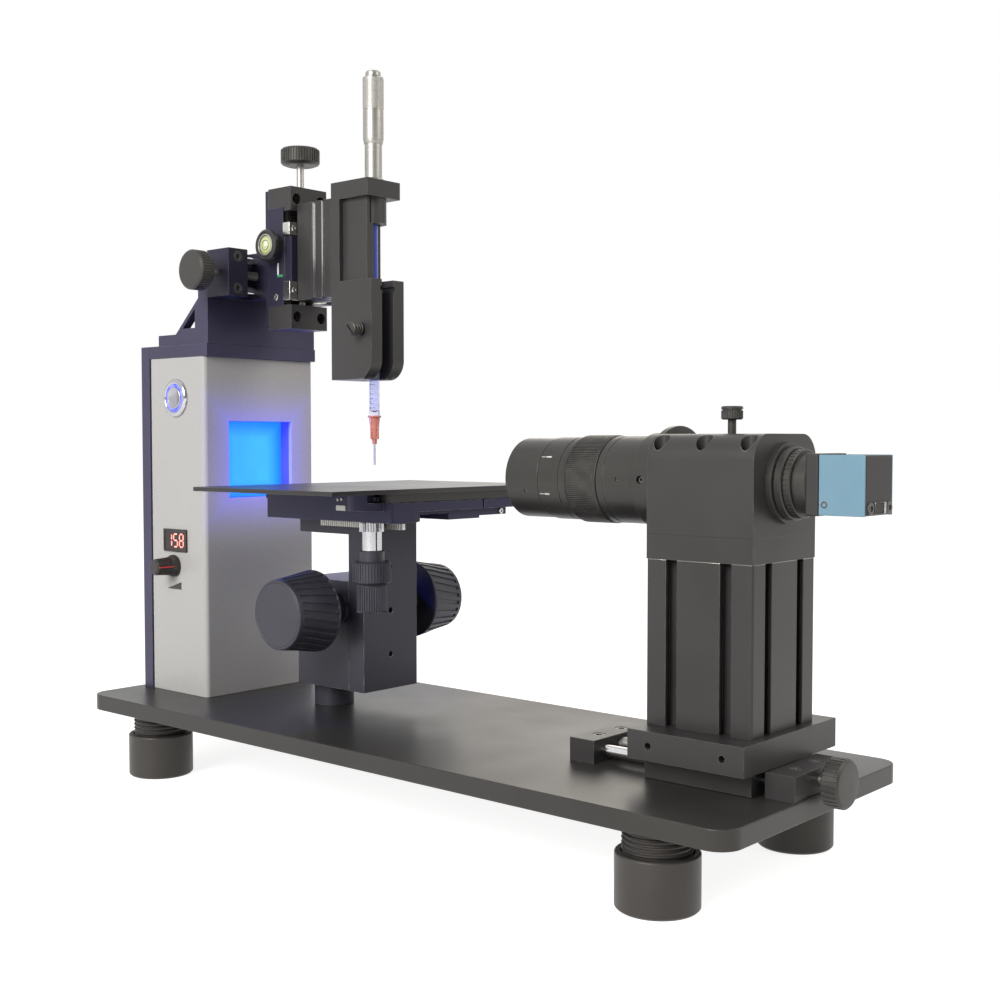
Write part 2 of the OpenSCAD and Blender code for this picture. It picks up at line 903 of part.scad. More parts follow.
module frame_screws() {
    color("#3a3a3c") bench() {
        for (p = back_screw_places) translate([tower_x0 + screw_head_h, p[0], p[1]])
            rotate([0, -90, 0]) cap_screw(screw_head_d, screw_head_h, screw_shank_d, back_t - screw_head_h);
        for (p = bracket_screw_places) translate([p[0], p[1], tower_top + bracket_base_t])
            cap_screw(screw_head_d, screw_head_h, screw_shank_d, bracket_base_t);
        for (s = [-1, 1], q = [-1, 1])
            translate([cross_x1 - mount_sink_h, s * (slide_l - slide_end_l) / 2, cross_z + q * mount_pitch / 2])
                rotate([0, 90, 0])
                    cap_screw(screw_head_d, screw_head_h, screw_shank_d, slide_d - mount_sink_h);
        for (x = [rail_x0 + rail_end_l / 2, rail_x1 - rail_end_l / 2], q = [-1, 1])
            translate([x, q * mount_pitch / 2, rail_end_h - mount_sink_h])
                cap_screw(screw_head_d, screw_head_h, screw_shank_d, rail_end_h - mount_sink_h);
    }
}

// Mini slide, standing along Z with its back on X = 0 and its knob end up

module slide_frame(axis) {
    difference() {
        union() {
            block([0, slide_bar_t], [-slide_w / 2, slide_w / 2], [-slide_l / 2, slide_l / 2]);
            for (z = [-slide_l / 2, slide_l / 2 - slide_end_l])
                block([0, slide_d], [-slide_w / 2, slide_w / 2], [z, z + slide_end_l]);
        }
        bar_z([-inner_l / 2 - rod_seat, slide_l / 2 + overrun], slide_shaft_d + 2 * fit, axis, 0);
        for (y = [-slide_rod_pitch / 2, slide_rod_pitch / 2])
            bar_z([-inner_l / 2 - rod_seat, inner_l / 2 + rod_seat], slide_rod_d + 2 * seat, slide_d / 2, y);
        for (s = [-1, 1], y = [-mount_pitch / 2, mount_pitch / 2]) {
            bar_x([-overrun, slide_d], mount_hole_d, y, s * (slide_l - slide_end_l) / 2);
            bar_x([slide_d - mount_sink_h, slide_d + overrun], mount_sink_d, y,
                s * (slide_l - slide_end_l) / 2);
        }
    }
}

module slide_rod_pair() {
    for (y = [-slide_rod_pitch / 2, slide_rod_pitch / 2])
        bar_z([-inner_l / 2 - rod_seat, inner_l / 2 + rod_seat], slide_rod_d, slide_d / 2, y);
}

module slide_screw(axis, out) {
    bar_z([-inner_l / 2 - rod_seat + gap, -inner_l / 2], slide_shaft_d, axis, 0);
    bar_z([-inner_l / 2 + gap, inner_l / 2 - gap], slide_screw_d, axis, 0);
    bar_z([-inner_l / 2, -inner_l / 2 + gap], slide_shaft_d, axis, 0);
    bar_z([inner_l / 2 - gap, slide_l / 2 + out + knob_bore_in], slide_shaft_d, axis, 0);
}

module slide_knob(axis, out) {
    translate([axis, 0, slide_l / 2 + out]) difference() {
        ribbed_disc(knob_d, knob_t, knob_rib_cut, knob_ribs);
        translate([0, 0, -overrun]) cylinder(h = overrun + knob_bore_in, d = slide_shaft_d + 2 * seat);
    }
}

module slide_bores(axis) {
    bar_z([-slide_l, slide_l], slide_screw_d + 2 * fit, axis, 0);
    for (y = [-slide_rod_pitch / 2, slide_rod_pitch / 2])
        bar_z([-slide_l, slide_l], slide_rod_d + 2 * fit, slide_d / 2, y);
}

// Cross slide: the mini slide laid along Y with its knob towards the viewer

module cross_place() {
    bench() translate([cross_x0, 0, cross_z]) rotate([90, 0, 0]) children();
}

module z_place() {
    bench() translate([z_x0, 0, z_mid]) children();
}

module cross_slide_frame() {
    color("#2b2a2a") cross_place() slide_frame(cross_axis);
}

module slide_rods() {
    color("#cfcfcf") {
        cross_place() slide_rod_pair();
        bench() for (y = [-rail_rod_pitch / 2, rail_rod_pitch / 2])
            bar_x([rail_in_x0 - rail_end_l / 2, rail_in_x1 + rail_end_l / 2], rail_rod_d, y, rail_axis_z);
    }
}

module cross_screw() {
    color("#b5b5b5") cross_place() slide_screw(cross_axis, cross_out);
}

module cross_knob() {
    color("#242323") cross_place() slide_knob(cross_axis, cross_out);
}

module cross_carriage() {
    color("#2b2a2a") {
        cross_place() difference() {
            block([slide_bar_t + gap, slide_d], [-slide_w / 2, slide_w / 2],
                [-cross_carriage_l / 2, cross_carriage_l / 2]);
            slide_bores(cross_axis);
        }
        bench() block([cross_x1, z_x0], [-cross_carriage_l / 2, cross_carriage_l / 2],
            [z_mid - adaptor_l / 2, z_mid + adaptor_l / 2]);
    }
}

// Height slide, its level and what it carries

module z_slide_frame() {
    color("#2b2a2a") z_place() {
        slide_frame(z_axis);
        slide_rod_pair();
    }
}

module bubble_level() {
    y1 = -slide_w / 2;
    x = z_x0 + level_out;
    z = z_mid + level_up;
    color("#2a2a2a") bench() difference() {
        bar_y([y1 - level_l, y1], level_d, x, z);
        bar_y([y1 - level_l - overrun, y1 - level_l + level_glass_drop], level_glass_d, x, z);
    }
}

module z_screw() {
    color("#b5b5b5") z_place() slide_screw(z_axis, z_out);
}

module z_knob() {
    color("#242323") z_place() slide_knob(z_axis, z_out);
}

module z_carriage() {
    back_x1 = z_x1 - clamp_t;
    side = slide_w / 2 - gap;
    pad = side - clamp_w;
    color("#2b2a2a") {
        z_place() difference() {
            translate([-z_x0, 0, -z_mid]) {
                block([z_x0 + slide_bar_t + gap, back_x1], [-side, side], [carriage_z0, carriage_z1]);
                block([back_x1, stack_x0], [-pad, pad], [carriage_z0, carriage_z1]);
            }
            slide_bores(z_axis);
        }
        bench() {
            for (x = [[stack_x0, strip_x1], [spacer_x2, strip_x3], [spacer_x4, holder_x0]])
                block(x, [-spacer_w / 2, spacer_w / 2], [carriage_z0, carriage_z0 + spacer_h]);
        }
    }
}

module carriage_clamps() {
    back_x1 = z_x1 - clamp_t;
    side = slide_w / 2 - gap;
    pad = side - clamp_w;
    color("#c8c8ca") bench() {
        for (y = [[-side, -pad], [pad, side]]) {
            block([back_x1, z_x1], y, [carriage_z0, carriage_z0 + clamp_low_l]);
            block([back_x1, z_x1], y, [carriage_z1 - clamp_top_l, carriage_z1]);
        }
        for (x = [[strip_x1, spacer_x2], [strip_x3, spacer_x4]])
            block(x, [-strip_w / 2, strip_w / 2],
                [carriage_z0 + strip_inset, carriage_z0 + spacer_h - strip_inset]);
    }
}

// Syringe holder, micrometer and syringe

module holder_profile() {
    x1 = clamp_block_l - clamp_corner_r;
    square([spine_t, holder_h]);
    square([x1, clamp_block_h]);
    translate([0, clamp_corner_r]) square([clamp_block_l, clamp_block_h - clamp_corner_r]);
    translate([x1, clamp_corner_r]) circle(r = clamp_corner_r);
    translate([0, holder_h - top_block_h]) square([top_block_l, top_block_h]);
}

module syringe_holder() {
    x_end = holder_x0 + clamp_block_l + overrun;
    flange_z1 = clamp_z1 - cap_slot_drop;
    bore_d = barrel_d + 2 * fit;
    color("#2c2b2b") bench() {
        difference() {
            union() {
                translate([holder_x0, holder_w / 2, holder_z0]) rotate([90, 0, 0])
                    linear_extrude(holder_w) holder_profile();
                block([holder_x0, holder_x0 + web_l], [-web_w / 2, web_w / 2], [holder_z0, holder_z1]);
            }
            block([syringe_x, x_end], [-slot_w / 2, slot_w / 2], [holder_z0 - overrun, bush_z0]);
            block([syringe_x - slot_back, x_end], [-slot_w / 2, slot_w / 2], [clamp_z1, bush_z0]);
            bar_z([holder_z0 - overrun, bush_z0], bore_d, syringe_x, 0);
            block([syringe_x, x_end], [-cap_slot_d / 2, cap_slot_d / 2], [barrel_flange_z0, flange_z1]);
            bar_z([barrel_flange_z0, flange_z1], cap_slot_d, syringe_x, 0);
            bar_z([bush_z0, bush_z1], bush_d + 2 * bush_clear, syringe_x, 0);
            block([syringe_x, x_end], [-bush_d / 2 - bush_clear, bush_d / 2 + bush_clear],
                [bush_z0, bush_z1]);
            bar_z([bush_z1 - overrun, holder_z1 + overrun], shank_d + 2 * seat, syringe_x, 0);
            bar_y([-holder_w / 2 - overrun, 0], clamp_screw_d + 2 * fit,
                syringe_x + clamp_screw_out, clamp_screw_z);
        }
        difference() {
            bar_z([bush_z0, bush_z1], bush_d, syringe_x, 0);
            bar_z([bush_z0 + bush_floor, bush_z1 + overrun], shank_d + 2 * seat, syringe_x, 0);
            bar_z([bush_z0 - overrun, bush_z1], plunger_d + 2 * fit, syringe_x, 0);
        }
    }
}

module micrometer_sleeve() {
    color("#c9c7c2") bench() difference() {
        union() {
            bar_z([bush_z0 + bush_floor, holder_z1], shank_d, syringe_x, 0);
            bar_z([holder_z1, sleeve_z1 + sleeve_hidden], sleeve_d, syringe_x, 0);
        }
        bar_z([bush_z0, rod_z1], plunger_d + 2 * fit, syringe_x, 0);
    }
}

module thimble() {
    color("#cfcdc8") bench() difference() {
        union() {
            bar_z([sleeve_z1, thimble_z1], thimble_d, syringe_x, 0);
            translate([syringe_x, 0, thimble_z1])
                ribbed_disc(thimble_d - 2 * thimble_grip_in, thimble_grip_l, thimble_cut, thimble_ribs);
            bar_z([grip_z1, grip_z1 + ratchet_l], ratchet_d, syringe_x, 0);
        }
        bar_z([sleeve_z1 - overrun, rod_z1], sleeve_d + 2 * fit, syringe_x, 0);
    }
}

module plunger_rod() {
    color("#3a55c8") bench() bar_z([plunger_z0, rod_z1], plunger_d, syringe_x, 0);
}

module syringe_barrel() {
    color("#cdd6f2") bench() difference() {
        union() {
            bar_z([barrel_z0, barrel_flange_z0 + flange_t], barrel_d, syringe_x, 0);
            bar_z([barrel_flange_z0, barrel_flange_z0 + flange_t], flange_d, syringe_x, 0);
            bar_z([barrel_z0 - nose_l, barrel_z0], nose_d, syringe_x, 0);
        }
        bar_z([barrel_z0 + barrel_floor, barrel_flange_z0 + flange_t + overrun],
            plunger_d + 2 * fit, syringe_x, 0);
        bar_z([barrel_z0 - nose_l - overrun, barrel_z0 + barrel_floor + overrun],
            nose_bore, syringe_x, 0);
    }
}

module needle_hub() {
    bore_z0 = hub_z1 - nose_l;
    color("#e58a78") bench() translate([syringe_x, 0, 0]) difference() {
        rotate_extrude() polygon([
            [0, hub_z0], [hub_tip_d / 2, hub_z0], [hub_d / 2, hub_z1 - hub_flange_t],
            [hub_flange_d / 2, hub_z1 - hub_flange_t], [hub_flange_d / 2, hub_z1], [0, hub_z1]
        ]);
        bar_z([bore_z0, hub_z1 + overrun], nose_d + 2 * seat, 0, 0);
        bar_z([hub_z0 + needle_in, hub_z1], nose_bore, 0, 0);
        bar_z([hub_z0 - overrun, hub_z0 + needle_in], needle_d + 2 * seat, 0, 0);
    }
}

module needle() {
    color("#d9d4e6") bench() difference() {
        bar_z([needle_z0, hub_z0 + needle_in], needle_d, syringe_x, 0);
        bar_z([needle_z0 - overrun, hub_z0 + needle_in + overrun], needle_bore, syringe_x, 0);
    }
}

module syringe_clamp_screw() {
    y_tip = -barrel_d / 2 - gap;
    y_face = -holder_w / 2;
    x = syringe_x + clamp_screw_out;
    color("#2a2a2a") bench() difference() {
        union() {
            bar_y([y_face - gap, y_tip], clamp_screw_d, x, clamp_screw_z);
            bar_y([y_face - gap - clamp_head_l, y_face - gap], clamp_head_d, x, clamp_screw_z);
        }
        block([x - clamp_head_d, x + clamp_head_d], [y_face - clamp_head_l - overrun,
            y_face - clamp_head_l + clamp_slot_t],
            [clamp_screw_z - clamp_slot_t / 2, clamp_screw_z + clamp_slot_t / 2]);
    }
}

// Focus block, arm and knobs

focus_slot_x0 = focus_rack_x - focus_module - gap;
focus_slot_y = focus_gear_w / 2 + gap;
focus_cavity_r = focus_gear_r + focus_module + gap;

module focus_block() {
    color("#2a292b") bench() {
        bar_z([0, post_h], post_d, block_x0 + post_out, 0);
        difference() {
            union() {
                block([block_x0, block_x1], [-block_y, block_y], [block_z0, block_z1]);
                bar_y([-block_y - focus_boss_l, block_y + focus_boss_l], focus_boss_d, shaft_x, shaft_z);
            }
            bar_y([-block_y - focus_boss_l - overrun, block_y + focus_boss_l + overrun],
                focus_shaft_d + 2 * fit, shaft_x, shaft_z);
            bar_y([-focus_slot_y, focus_slot_y], 2 * focus_cavity_r, shaft_x, shaft_z);
            block([focus_slot_x0, block_x1 + overrun], [-focus_slot_y, focus_slot_y],
                [block_z0 - overrun, block_z1 + overrun]);
        }
    }
}

module lift_arm() {
    color("#2a292b") bench() difference() {
        union() {
            block([arm_x0, arm_x1], [-block_y, block_y], [block_z0, head_z1]);
            block([head_x0, arm_x1], [-block_y, block_y], [head_z0, head_z1]);
            block([head_x0, arm_x1], [-head_rail_w / 2, head_rail_w / 2], [head_z1, head_z1 + head_rail_h]);
        }
        for (k = [0 : 2]) {
            z = block_z0 + arm_hole_first + k * arm_hole_pitch;
            bar_x([arm_x0 + arm_t / 3, arm_x1 + overrun], arm_hole_d, 0, z);
            bar_x([arm_x1 - arm_t / 3, arm_x1 + overrun], arm_sink_d, 0, z);
        }
    }
}

module racks() {
    focus_pitch = PI * focus_module;
    x_pitch = PI * stage_x_module;
    low = -floor((shaft_z - focus_rack_z0 - block_z0) / focus_pitch);
    high = floor((focus_rack_z1 + block_z0 - shaft_z) / focus_pitch);
    x_low = -floor(stage_rack_from_axis / x_pitch);
    x_high = x_low + floor(stage_rack_l / x_pitch);
    tab_x = axis_x + x_low * x_pitch;
    color("#a9a9a6") bench() {
        translate([focus_rack_x, focus_rack_w / 2, shaft_z]) rotate([90, 0, 0])
            rack(focus_module, low, high, arm_x0 - focus_rack_x, focus_rack_w);
        translate([axis_x, stage_rack_y, rack_z1 - stage_rack_h]) rotate([0, 0, 90])
            mirror([0, 1, 0]) rack(stage_x_module, x_low, x_high, stage_rack_t, stage_rack_h);
        block([tab_x, tab_x + rack_tab_l], [stage_rack_y + stage_rack_t, -block_y],
            [rack_z1 - stage_rack_h, rack_z1]);
    }
}

module focus_shaft() {
    color("#b5b5b5") bench() {
        bar_y([-knob_outer_y + knob_hub_in, knob_outer_y - knob_hub_in], focus_shaft_d, shaft_x, shaft_z);
        translate([shaft_x, focus_gear_w / 2, shaft_z]) rotate([90, 0, 0])
            gear(focus_module, focus_teeth, focus_gear_w);
    }
}

// One focus knob, turned about Z with its inner rim on Z = 0
module focus_knob() {
    l = knob_outer_y - knob_inner_y;
    r0 = focus_d / 2;
    r1 = r0 * knob_cone_share;
    boss_end = block_y + focus_boss_l + gap;
    hub_z0 = boss_end - knob_inner_y;
    floor_z = l - 2 * knob_rim;
    difference() {
        rotate_extrude() polygon([
            [0, hub_z0], [knob_hub_d / 2, hub_z0], [knob_hub_d / 2, floor_z],
            [r1 - knob_rim, floor_z], [r0 - knob_rim, 0], [r0, 0], [r0, knob_rim],
            [r1, l - knob_face_edge], [r1 - knob_face_edge, l], [0, l]
        ]);
        translate([0, 0, hub_z0 - overrun])
            cylinder(h = l - knob_hub_in - hub_z0 + overrun, d = focus_shaft_d + 2 * seat);
    }
}

module focus_knobs() {
    color("#262527") bench() for (s = [-1, 1])
        translate([shaft_x, s * knob_inner_y, shaft_z]) rotate([-s * 90, 0, 0]) focus_knob();
}

// Stage

module stage_body() {
    groove_y = head_rail_w / 2 + gap;
    cover_z0 = stage_z0 + cover_up;
    color("#29282c") bench() difference() {
        union() {
            translate([0, 0, stage_z0]) linear_extrude(stage_body_h)
                translate([(stage_x0 + stage_x1) / 2, 0])
                    rounded_rect(stage_l, stage_w, stage_corner_r / 4);
            block([stage_x0, guide_x1], [-stage_y, stage_y], [stage_z1, guide_z1]);
            bar_z([cover_z0, guide_z1], cover_d, axis_x, axis_y);
            block([stage_x1 - far_rail_w, stage_x1], [stage_y, stage_y + far_rail_l],
                [undercut_z1, stage_z1]);
            block([stage_x1 - undercut_w - far_bracket_w, stage_x1 - undercut_w],
                [stage_y, stage_y + far_bracket_l], [stage_z0 + far_bracket_up, stage_z1]);
        }
        block([stage_x1 - undercut_w, stage_x1 + overrun],
            [-stage_y + undercut_from_side, stage_y + overrun], [stage_z0 - overrun, undercut_z1]);
        block([stage_x0 - overrun, stage_x1 + overrun], [-groove_y, groove_y],
            [stage_z0 - overrun, stage_z0 + head_rail_h]);
        block([guide_x1, stage_x1 + cover_d], [-stage_w, stage_w], [stage_z1, guide_z1 + overrun]);
        bar_z([stage_z1, guide_z1 + overrun], 2 * (stage_y_gear_r + stage_y_module + gap),
            axis_x, axis_y);
        bar_z([stage_z0 - overrun, stage_z0 + x_journal_in + gap], x_journal_d + 2 * fit,
            axis_x, axis_y);
        bar_z([stage_z0, guide_z1], y_shaft_d + 2 * fit, axis_x, axis_y);
    }
}

module stage_x_shaft() {
    color("#c4c4c6") bench() translate([axis_x, axis_y, 0]) difference() {
        union() {
            translate([0, 0, x_gear_z0]) rotate([0, 0, 90])
                gear(stage_x_module, stage_x_teeth, stage_x_gear_h);
            bar_z([x_tube_z0, x_gear_z0], x_tube_d, 0, 0);
            bar_z([x_gear_z0, stage_z0 + x_journal_in], x_journal_d, 0, 0);
        }
        bar_z([x_tube_z0 - overrun, guide_z1], y_shaft_d + 2 * fit, 0, 0);
    }
}

module stage_x_knob() {
    color("#262527") bench() translate([axis_x, axis_y, 0]) difference() {
        union() {
            bar_z([x_neck_z0, x_tube_z0], x_neck_d, 0, 0);
            translate([0, 0, x_knob_z0]) ribbed_disc(x_knob_d, x_knob_l, knob_rib_cut, knob_ribs);
        }
        bar_z([x_knob_z0 - overrun, x_tube_z0 + overrun], y_shaft_d + 2 * fit, 0, 0);
    }
}

module stage_y_knob() {
    color("#262527") bench() translate([axis_x, axis_y, 0]) {
        translate([0, 0, y_knob_z1 - y_knob_l]) ribbed_disc(y_knob_d, y_knob_l, knob_rib_cut, knob_ribs);
        bar_z([y_knob_z1, y_gear_z0], y_shaft_d, 0, 0);
        translate([0, 0, y_gear_z0]) gear(stage_y_module, stage_y_teeth, stage_y_gear_h);
    }
}

module sample_plate() {
    y_pitch = PI * stage_y_module;
    low = -floor((stage_y + axis_y) / y_pitch);
    high = low + floor(rail_bar_l / y_pitch) - 1;
    color("#2b2a2c") bench() {
        block([sample_x0, sample_x0 + sample_w], [-sample_l / 2, sample_l / 2], [sample_z0, sample_z1]);
        translate([rail_bar_x0, axis_y, y_gear_z0])
            rack(stage_y_module, low, high, rail_bar_w, sample_z0 - y_gear_z0);
    }
}

// Camera rail

module rail_end(x) {
    difference() {
        block([x, x + rail_end_l], [-rail_w / 2, rail_w / 2], [0, rail_end_h]);
        bar_x([x - overrun, x + rail_end_l + overrun], rail_shaft_d + 2 * fit, 0, rail_axis_z);
        for (y = [-mount_pitch / 2, mount_pitch / 2]) {
            bar_z([-overrun, rail_end_h], mount_hole_d, x + rail_end_l / 2, y);
            bar_z([rail_end_h - mount_sink_h, rail_end_h + overrun], mount_sink_d, x + rail_end_l / 2, y);
        }
    }
}

module rail_end_blocks() {
    color("#2b2a2a") bench() difference() {
        union() {
            rail_end(rail_x0);
            rail_end(rail_x1 - rail_end_l);
        }
        for (y = [-rail_rod_pitch / 2, rail_rod_pitch / 2])
            bar_x([rail_in_x0 - rail_end_l / 2, rail_in_x1 + rail_end_l / 2],
                rail_rod_d + 2 * seat, y, rail_axis_z);
    }
}

module rail_screw() {
    color("#b5b5b5") bench() {
        bar_x([rail_x0 + gap, rail_in_x0 + gap], rail_shaft_d, 0, rail_axis_z);
        bar_x([rail_in_x0 + gap, rail_in_x1 - gap], rail_screw_d, 0, rail_axis_z);
        bar_x([rail_in_x1 - gap, rail_x1 + rail_knob_gap + knob_bore_in], rail_shaft_d, 0, rail_axis_z);
    }
}

module rail_knob() {
    color("#242323") bench() translate([rail_x1 + rail_knob_gap, 0, rail_axis_z]) rotate([0, 90, 0])
        difference() {
            ribbed_disc(rail_knob_d, rail_knob_t, knob_rib_cut, knob_ribs);
            translate([0, 0, -overrun]) cylinder(h = overrun + knob_bore_in, d = rail_shaft_d + 2 * seat);
        }
}

module rail_carriage() {
    x0 = rail_carriage_x0;
    y = column_w / 2;
    plate_y = slide_plate_w / 2;
    plate_z = rail_carriage_z1 + slide_plate_t / 2;
    color("#2b2a2a") bench() {
        difference() {
            block([x0, x0 + rail_carriage_l], [-y, y], [gap, rail_carriage_z1]);
            bar_x([x0 - overrun, x0 + rail_carriage_l + overrun], rail_screw_d + 2 * fit, 0, rail_axis_z);
            for (s = [-1, 1])
                bar_x([x0 - overrun, x0 + rail_carriage_l + overrun], rail_rod_d + 2 * fit,
                    s * rail_rod_pitch / 2, rail_axis_z);
        }
        difference() {
            block([x0, x0 + slide_plate_l], [-plate_y, plate_y], [rail_carriage_z1, slide_plate_z1]);
            for (x = [x0 + side_hole_inset, x0 + slide_plate_l - side_hole_inset], s = [-1, 1])
                bar_y([s * plate_y - side_hole_depth, s * plate_y + side_hole_depth], side_hole_d,
                    x, plate_z);
        }
    }
}

// Column and lens block

module column_section() {
    difference() {
        rounded_rect(column_w, column_w, column_edge_r);
        for (a = [0 : 90 : 270], p = [-slot_pitch / 2, slot_pitch / 2]) rotate(a) {
            translate([column_w / 2 - slot_lip, p - slot_open / 2])
                square([slot_lip + overrun, slot_open]);
            translate([column_w / 2 - slot_lip - slot_deep, p - slot_wide / 2])
                square([slot_deep, slot_wide]);
        }
        for (x = [-1, 1], y = [-1, 1])
            translate([x, y] * slot_pitch / 2) circle(d = core_d);
        square(core_w, center = true);
    }
}

module column() {
    color("#2f2e2e") bench() translate([column_x0 + column_w / 2, 0, slide_plate_z1])
        linear_extrude(column_h) column_section();
}

module lens_block_section() {
    y = column_w / 2 - lens_block_r;
    h = lens_block_h - lens_block_r;
    translate([-column_w / 2, 0]) square([column_w, h]);
    translate([-y, 0]) square([2 * y, lens_block_h]);
    for (s = [-y, y]) translate([s, h]) circle(r = lens_block_r);
}

lens_screw_inset = 5.5;
lens_screw_xs = [column_x0 + lens_screw_inset, (column_x0 + column_x1) / 2, column_x1 - lens_screw_inset];

module lens_block() {
    floor_z = cap_z1 + lens_block_screw_floor;
    color("#2d2c2c") bench() {
        block([column_x0, column_x1], [-column_w / 2, column_w / 2], [column_z1, cap_z1]);
        difference() {
            translate([column_x0, 0, cap_z1]) rotate([90, 0, 90])
                linear_extrude(column_w) lens_block_section();
            bar_x([column_x0 - overrun, column_x1 + overrun], tail_d + 2 * seat, 0, lens_z);
            for (x = lens_screw_xs, s = [-1, 1])
                bar_z([floor_z, lens_block_z1 + overrun], lens_block_screw_d, x, s * lens_block_screw_y);
            bar_z([lens_z, lens_block_z1 + overrun], thumb_d + 2 * fit, (column_x0 + column_x1) / 2, 0);
        }
    }
}

module lens_clamp_screw() {
    x = (column_x0 + column_x1) / 2;
    neck_z1 = lens_block_z1 + thumb_neck;
    color("#262525") bench() {
        bar_z([lens_z + tail_d / 2 + gap, neck_z1], thumb_d, x, 0);
        translate([x, 0, neck_z1]) ribbed_disc(thumb_head_d, thumb_head_h, knob_rib_cut, knob_ribs / 2);
    }
}

module lens_barrel() {
    front_hole = front_x0 + front_lens_in + front_lens_t;
    color("#242325") bench() difference() {
        union() {
            bar_x([front_x0, index_x0 - gap], lens_d, 0, lens_z);
            bar_x([index_x0 - gap, rear_x0], core_lens_d, 0, lens_z);
            bar_x([rear_x0, collar_x0], rear_d, 0, lens_z);
            bar_x([collar_x0, flange_disc_x0], collar_d, 0, lens_z);
            bar_x([flange_disc_x0, column_x0], flange_disc_d, 0, lens_z);
            bar_x([column_x0, tail_x1], tail_d, 0, lens_z);
        }
        bar_x([front_x0 - overrun, tail_x1 + overrun], lens_bore_d, 0, lens_z);
        bar_x([front_x0 - overrun, front_hole], front_lens_d + 2 * fit, 0, lens_z);
        bar_x([tail_x1 - rear_lens_t, tail_x1 + overrun], rear_lens_d + 2 * fit, 0, lens_z);
    }
}

module lens_elements() {
    color("#5a6f8c") bench() {
        bar_x([front_x0 + front_lens_in, front_x0 + front_lens_in + front_lens_t], front_lens_d, 0, lens_z);
        bar_x([tail_x1 - rear_lens_t, tail_x1 - seat], rear_lens_d, 0, lens_z);
    }
}

module zoom_ring() {
    color("#1f1e20") bench() difference() {
        union() {
            bar_x([index_x0, zoom_x0], index_d, 0, lens_z);
            translate([zoom_x0, 0, lens_z]) rotate([0, 90, 0])
                ribbed_disc(zoom_d, zoom_l - gap, knob_rib_cut, 2 * knob_ribs);
        }
        bar_x([index_x0 - overrun, rear_x0 + overrun], core_lens_d + 2 * fit, 0, lens_z);
    }
}

// Camera and its adapter

module camera_adapter() {
    lock_x0 = adapter_x0 + adapter_ring_l;
    cone_x0 = lock_x0 + adapter_lock_l;
    color("#2a292b") bench() difference() {
        union() {
            bar_x([adapter_x0, lock_x0], adapter_ring_d, 0, lens_z);
            bar_x([lock_x0, cone_x0], adapter_lock_d, 0, lens_z);
            bar_x([cone_x0, camera_x0], adapter_cone_d, 0, lens_z);
        }
        bar_x([adapter_x0 - overrun, camera_x0 + overrun], adapter_bore_d, 0, lens_z);
    }
}

module camera_body() {
    w = camera_w / 2;
    color("#7f9bb5") bench() {
        translate([camera_x0, 0, lens_z]) rotate([90, 0, 90])
            linear_extrude(camera_l) rounded_rect(camera_w, camera_w, camera_edge_r);
        block([camera_x1, right_end], [-socket_l / 2, socket_l / 2], [lens_z - w + socket_out,
            lens_z - w + socket_out + socket_h]);
    }
}

base_plate();
foot_studs();
tower_shell();
tower_back_plate();
tower_top_plate();
light_box();
window_diffuser();
electronics();
power_switch_body();
display_module();
dc_inlet();
tower_bracket();
frame_screws();
cross_slide_frame();
slide_rods();
focus_block();
rail_end_blocks();
foot_cup_1();
foot_cup_2();
foot_cup_3();
foot_cup_4();
power_button();
dimmer_knob();
cross_screw();
cross_knob();
cross_carriage();
z_slide_frame();
bubble_level();
z_screw();
z_knob();
z_carriage();
carriage_clamps();
syringe_holder();
micrometer_sleeve();
syringe_barrel();
needle_hub();
needle();
plunger_rod();
thimble();
syringe_clamp_screw();
lift_arm();
racks();
focus_shaft();
focus_knobs();
stage_body();
stage_x_shaft();
stage_x_knob();
stage_y_knob();
sample_plate();
rail_screw();
rail_knob();
rail_carriage();
column();
lens_block();
lens_barrel();
lens_elements();
camera_adapter();
camera_body();
zoom_ring();
lens_clamp_screw();
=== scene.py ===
import json
import math

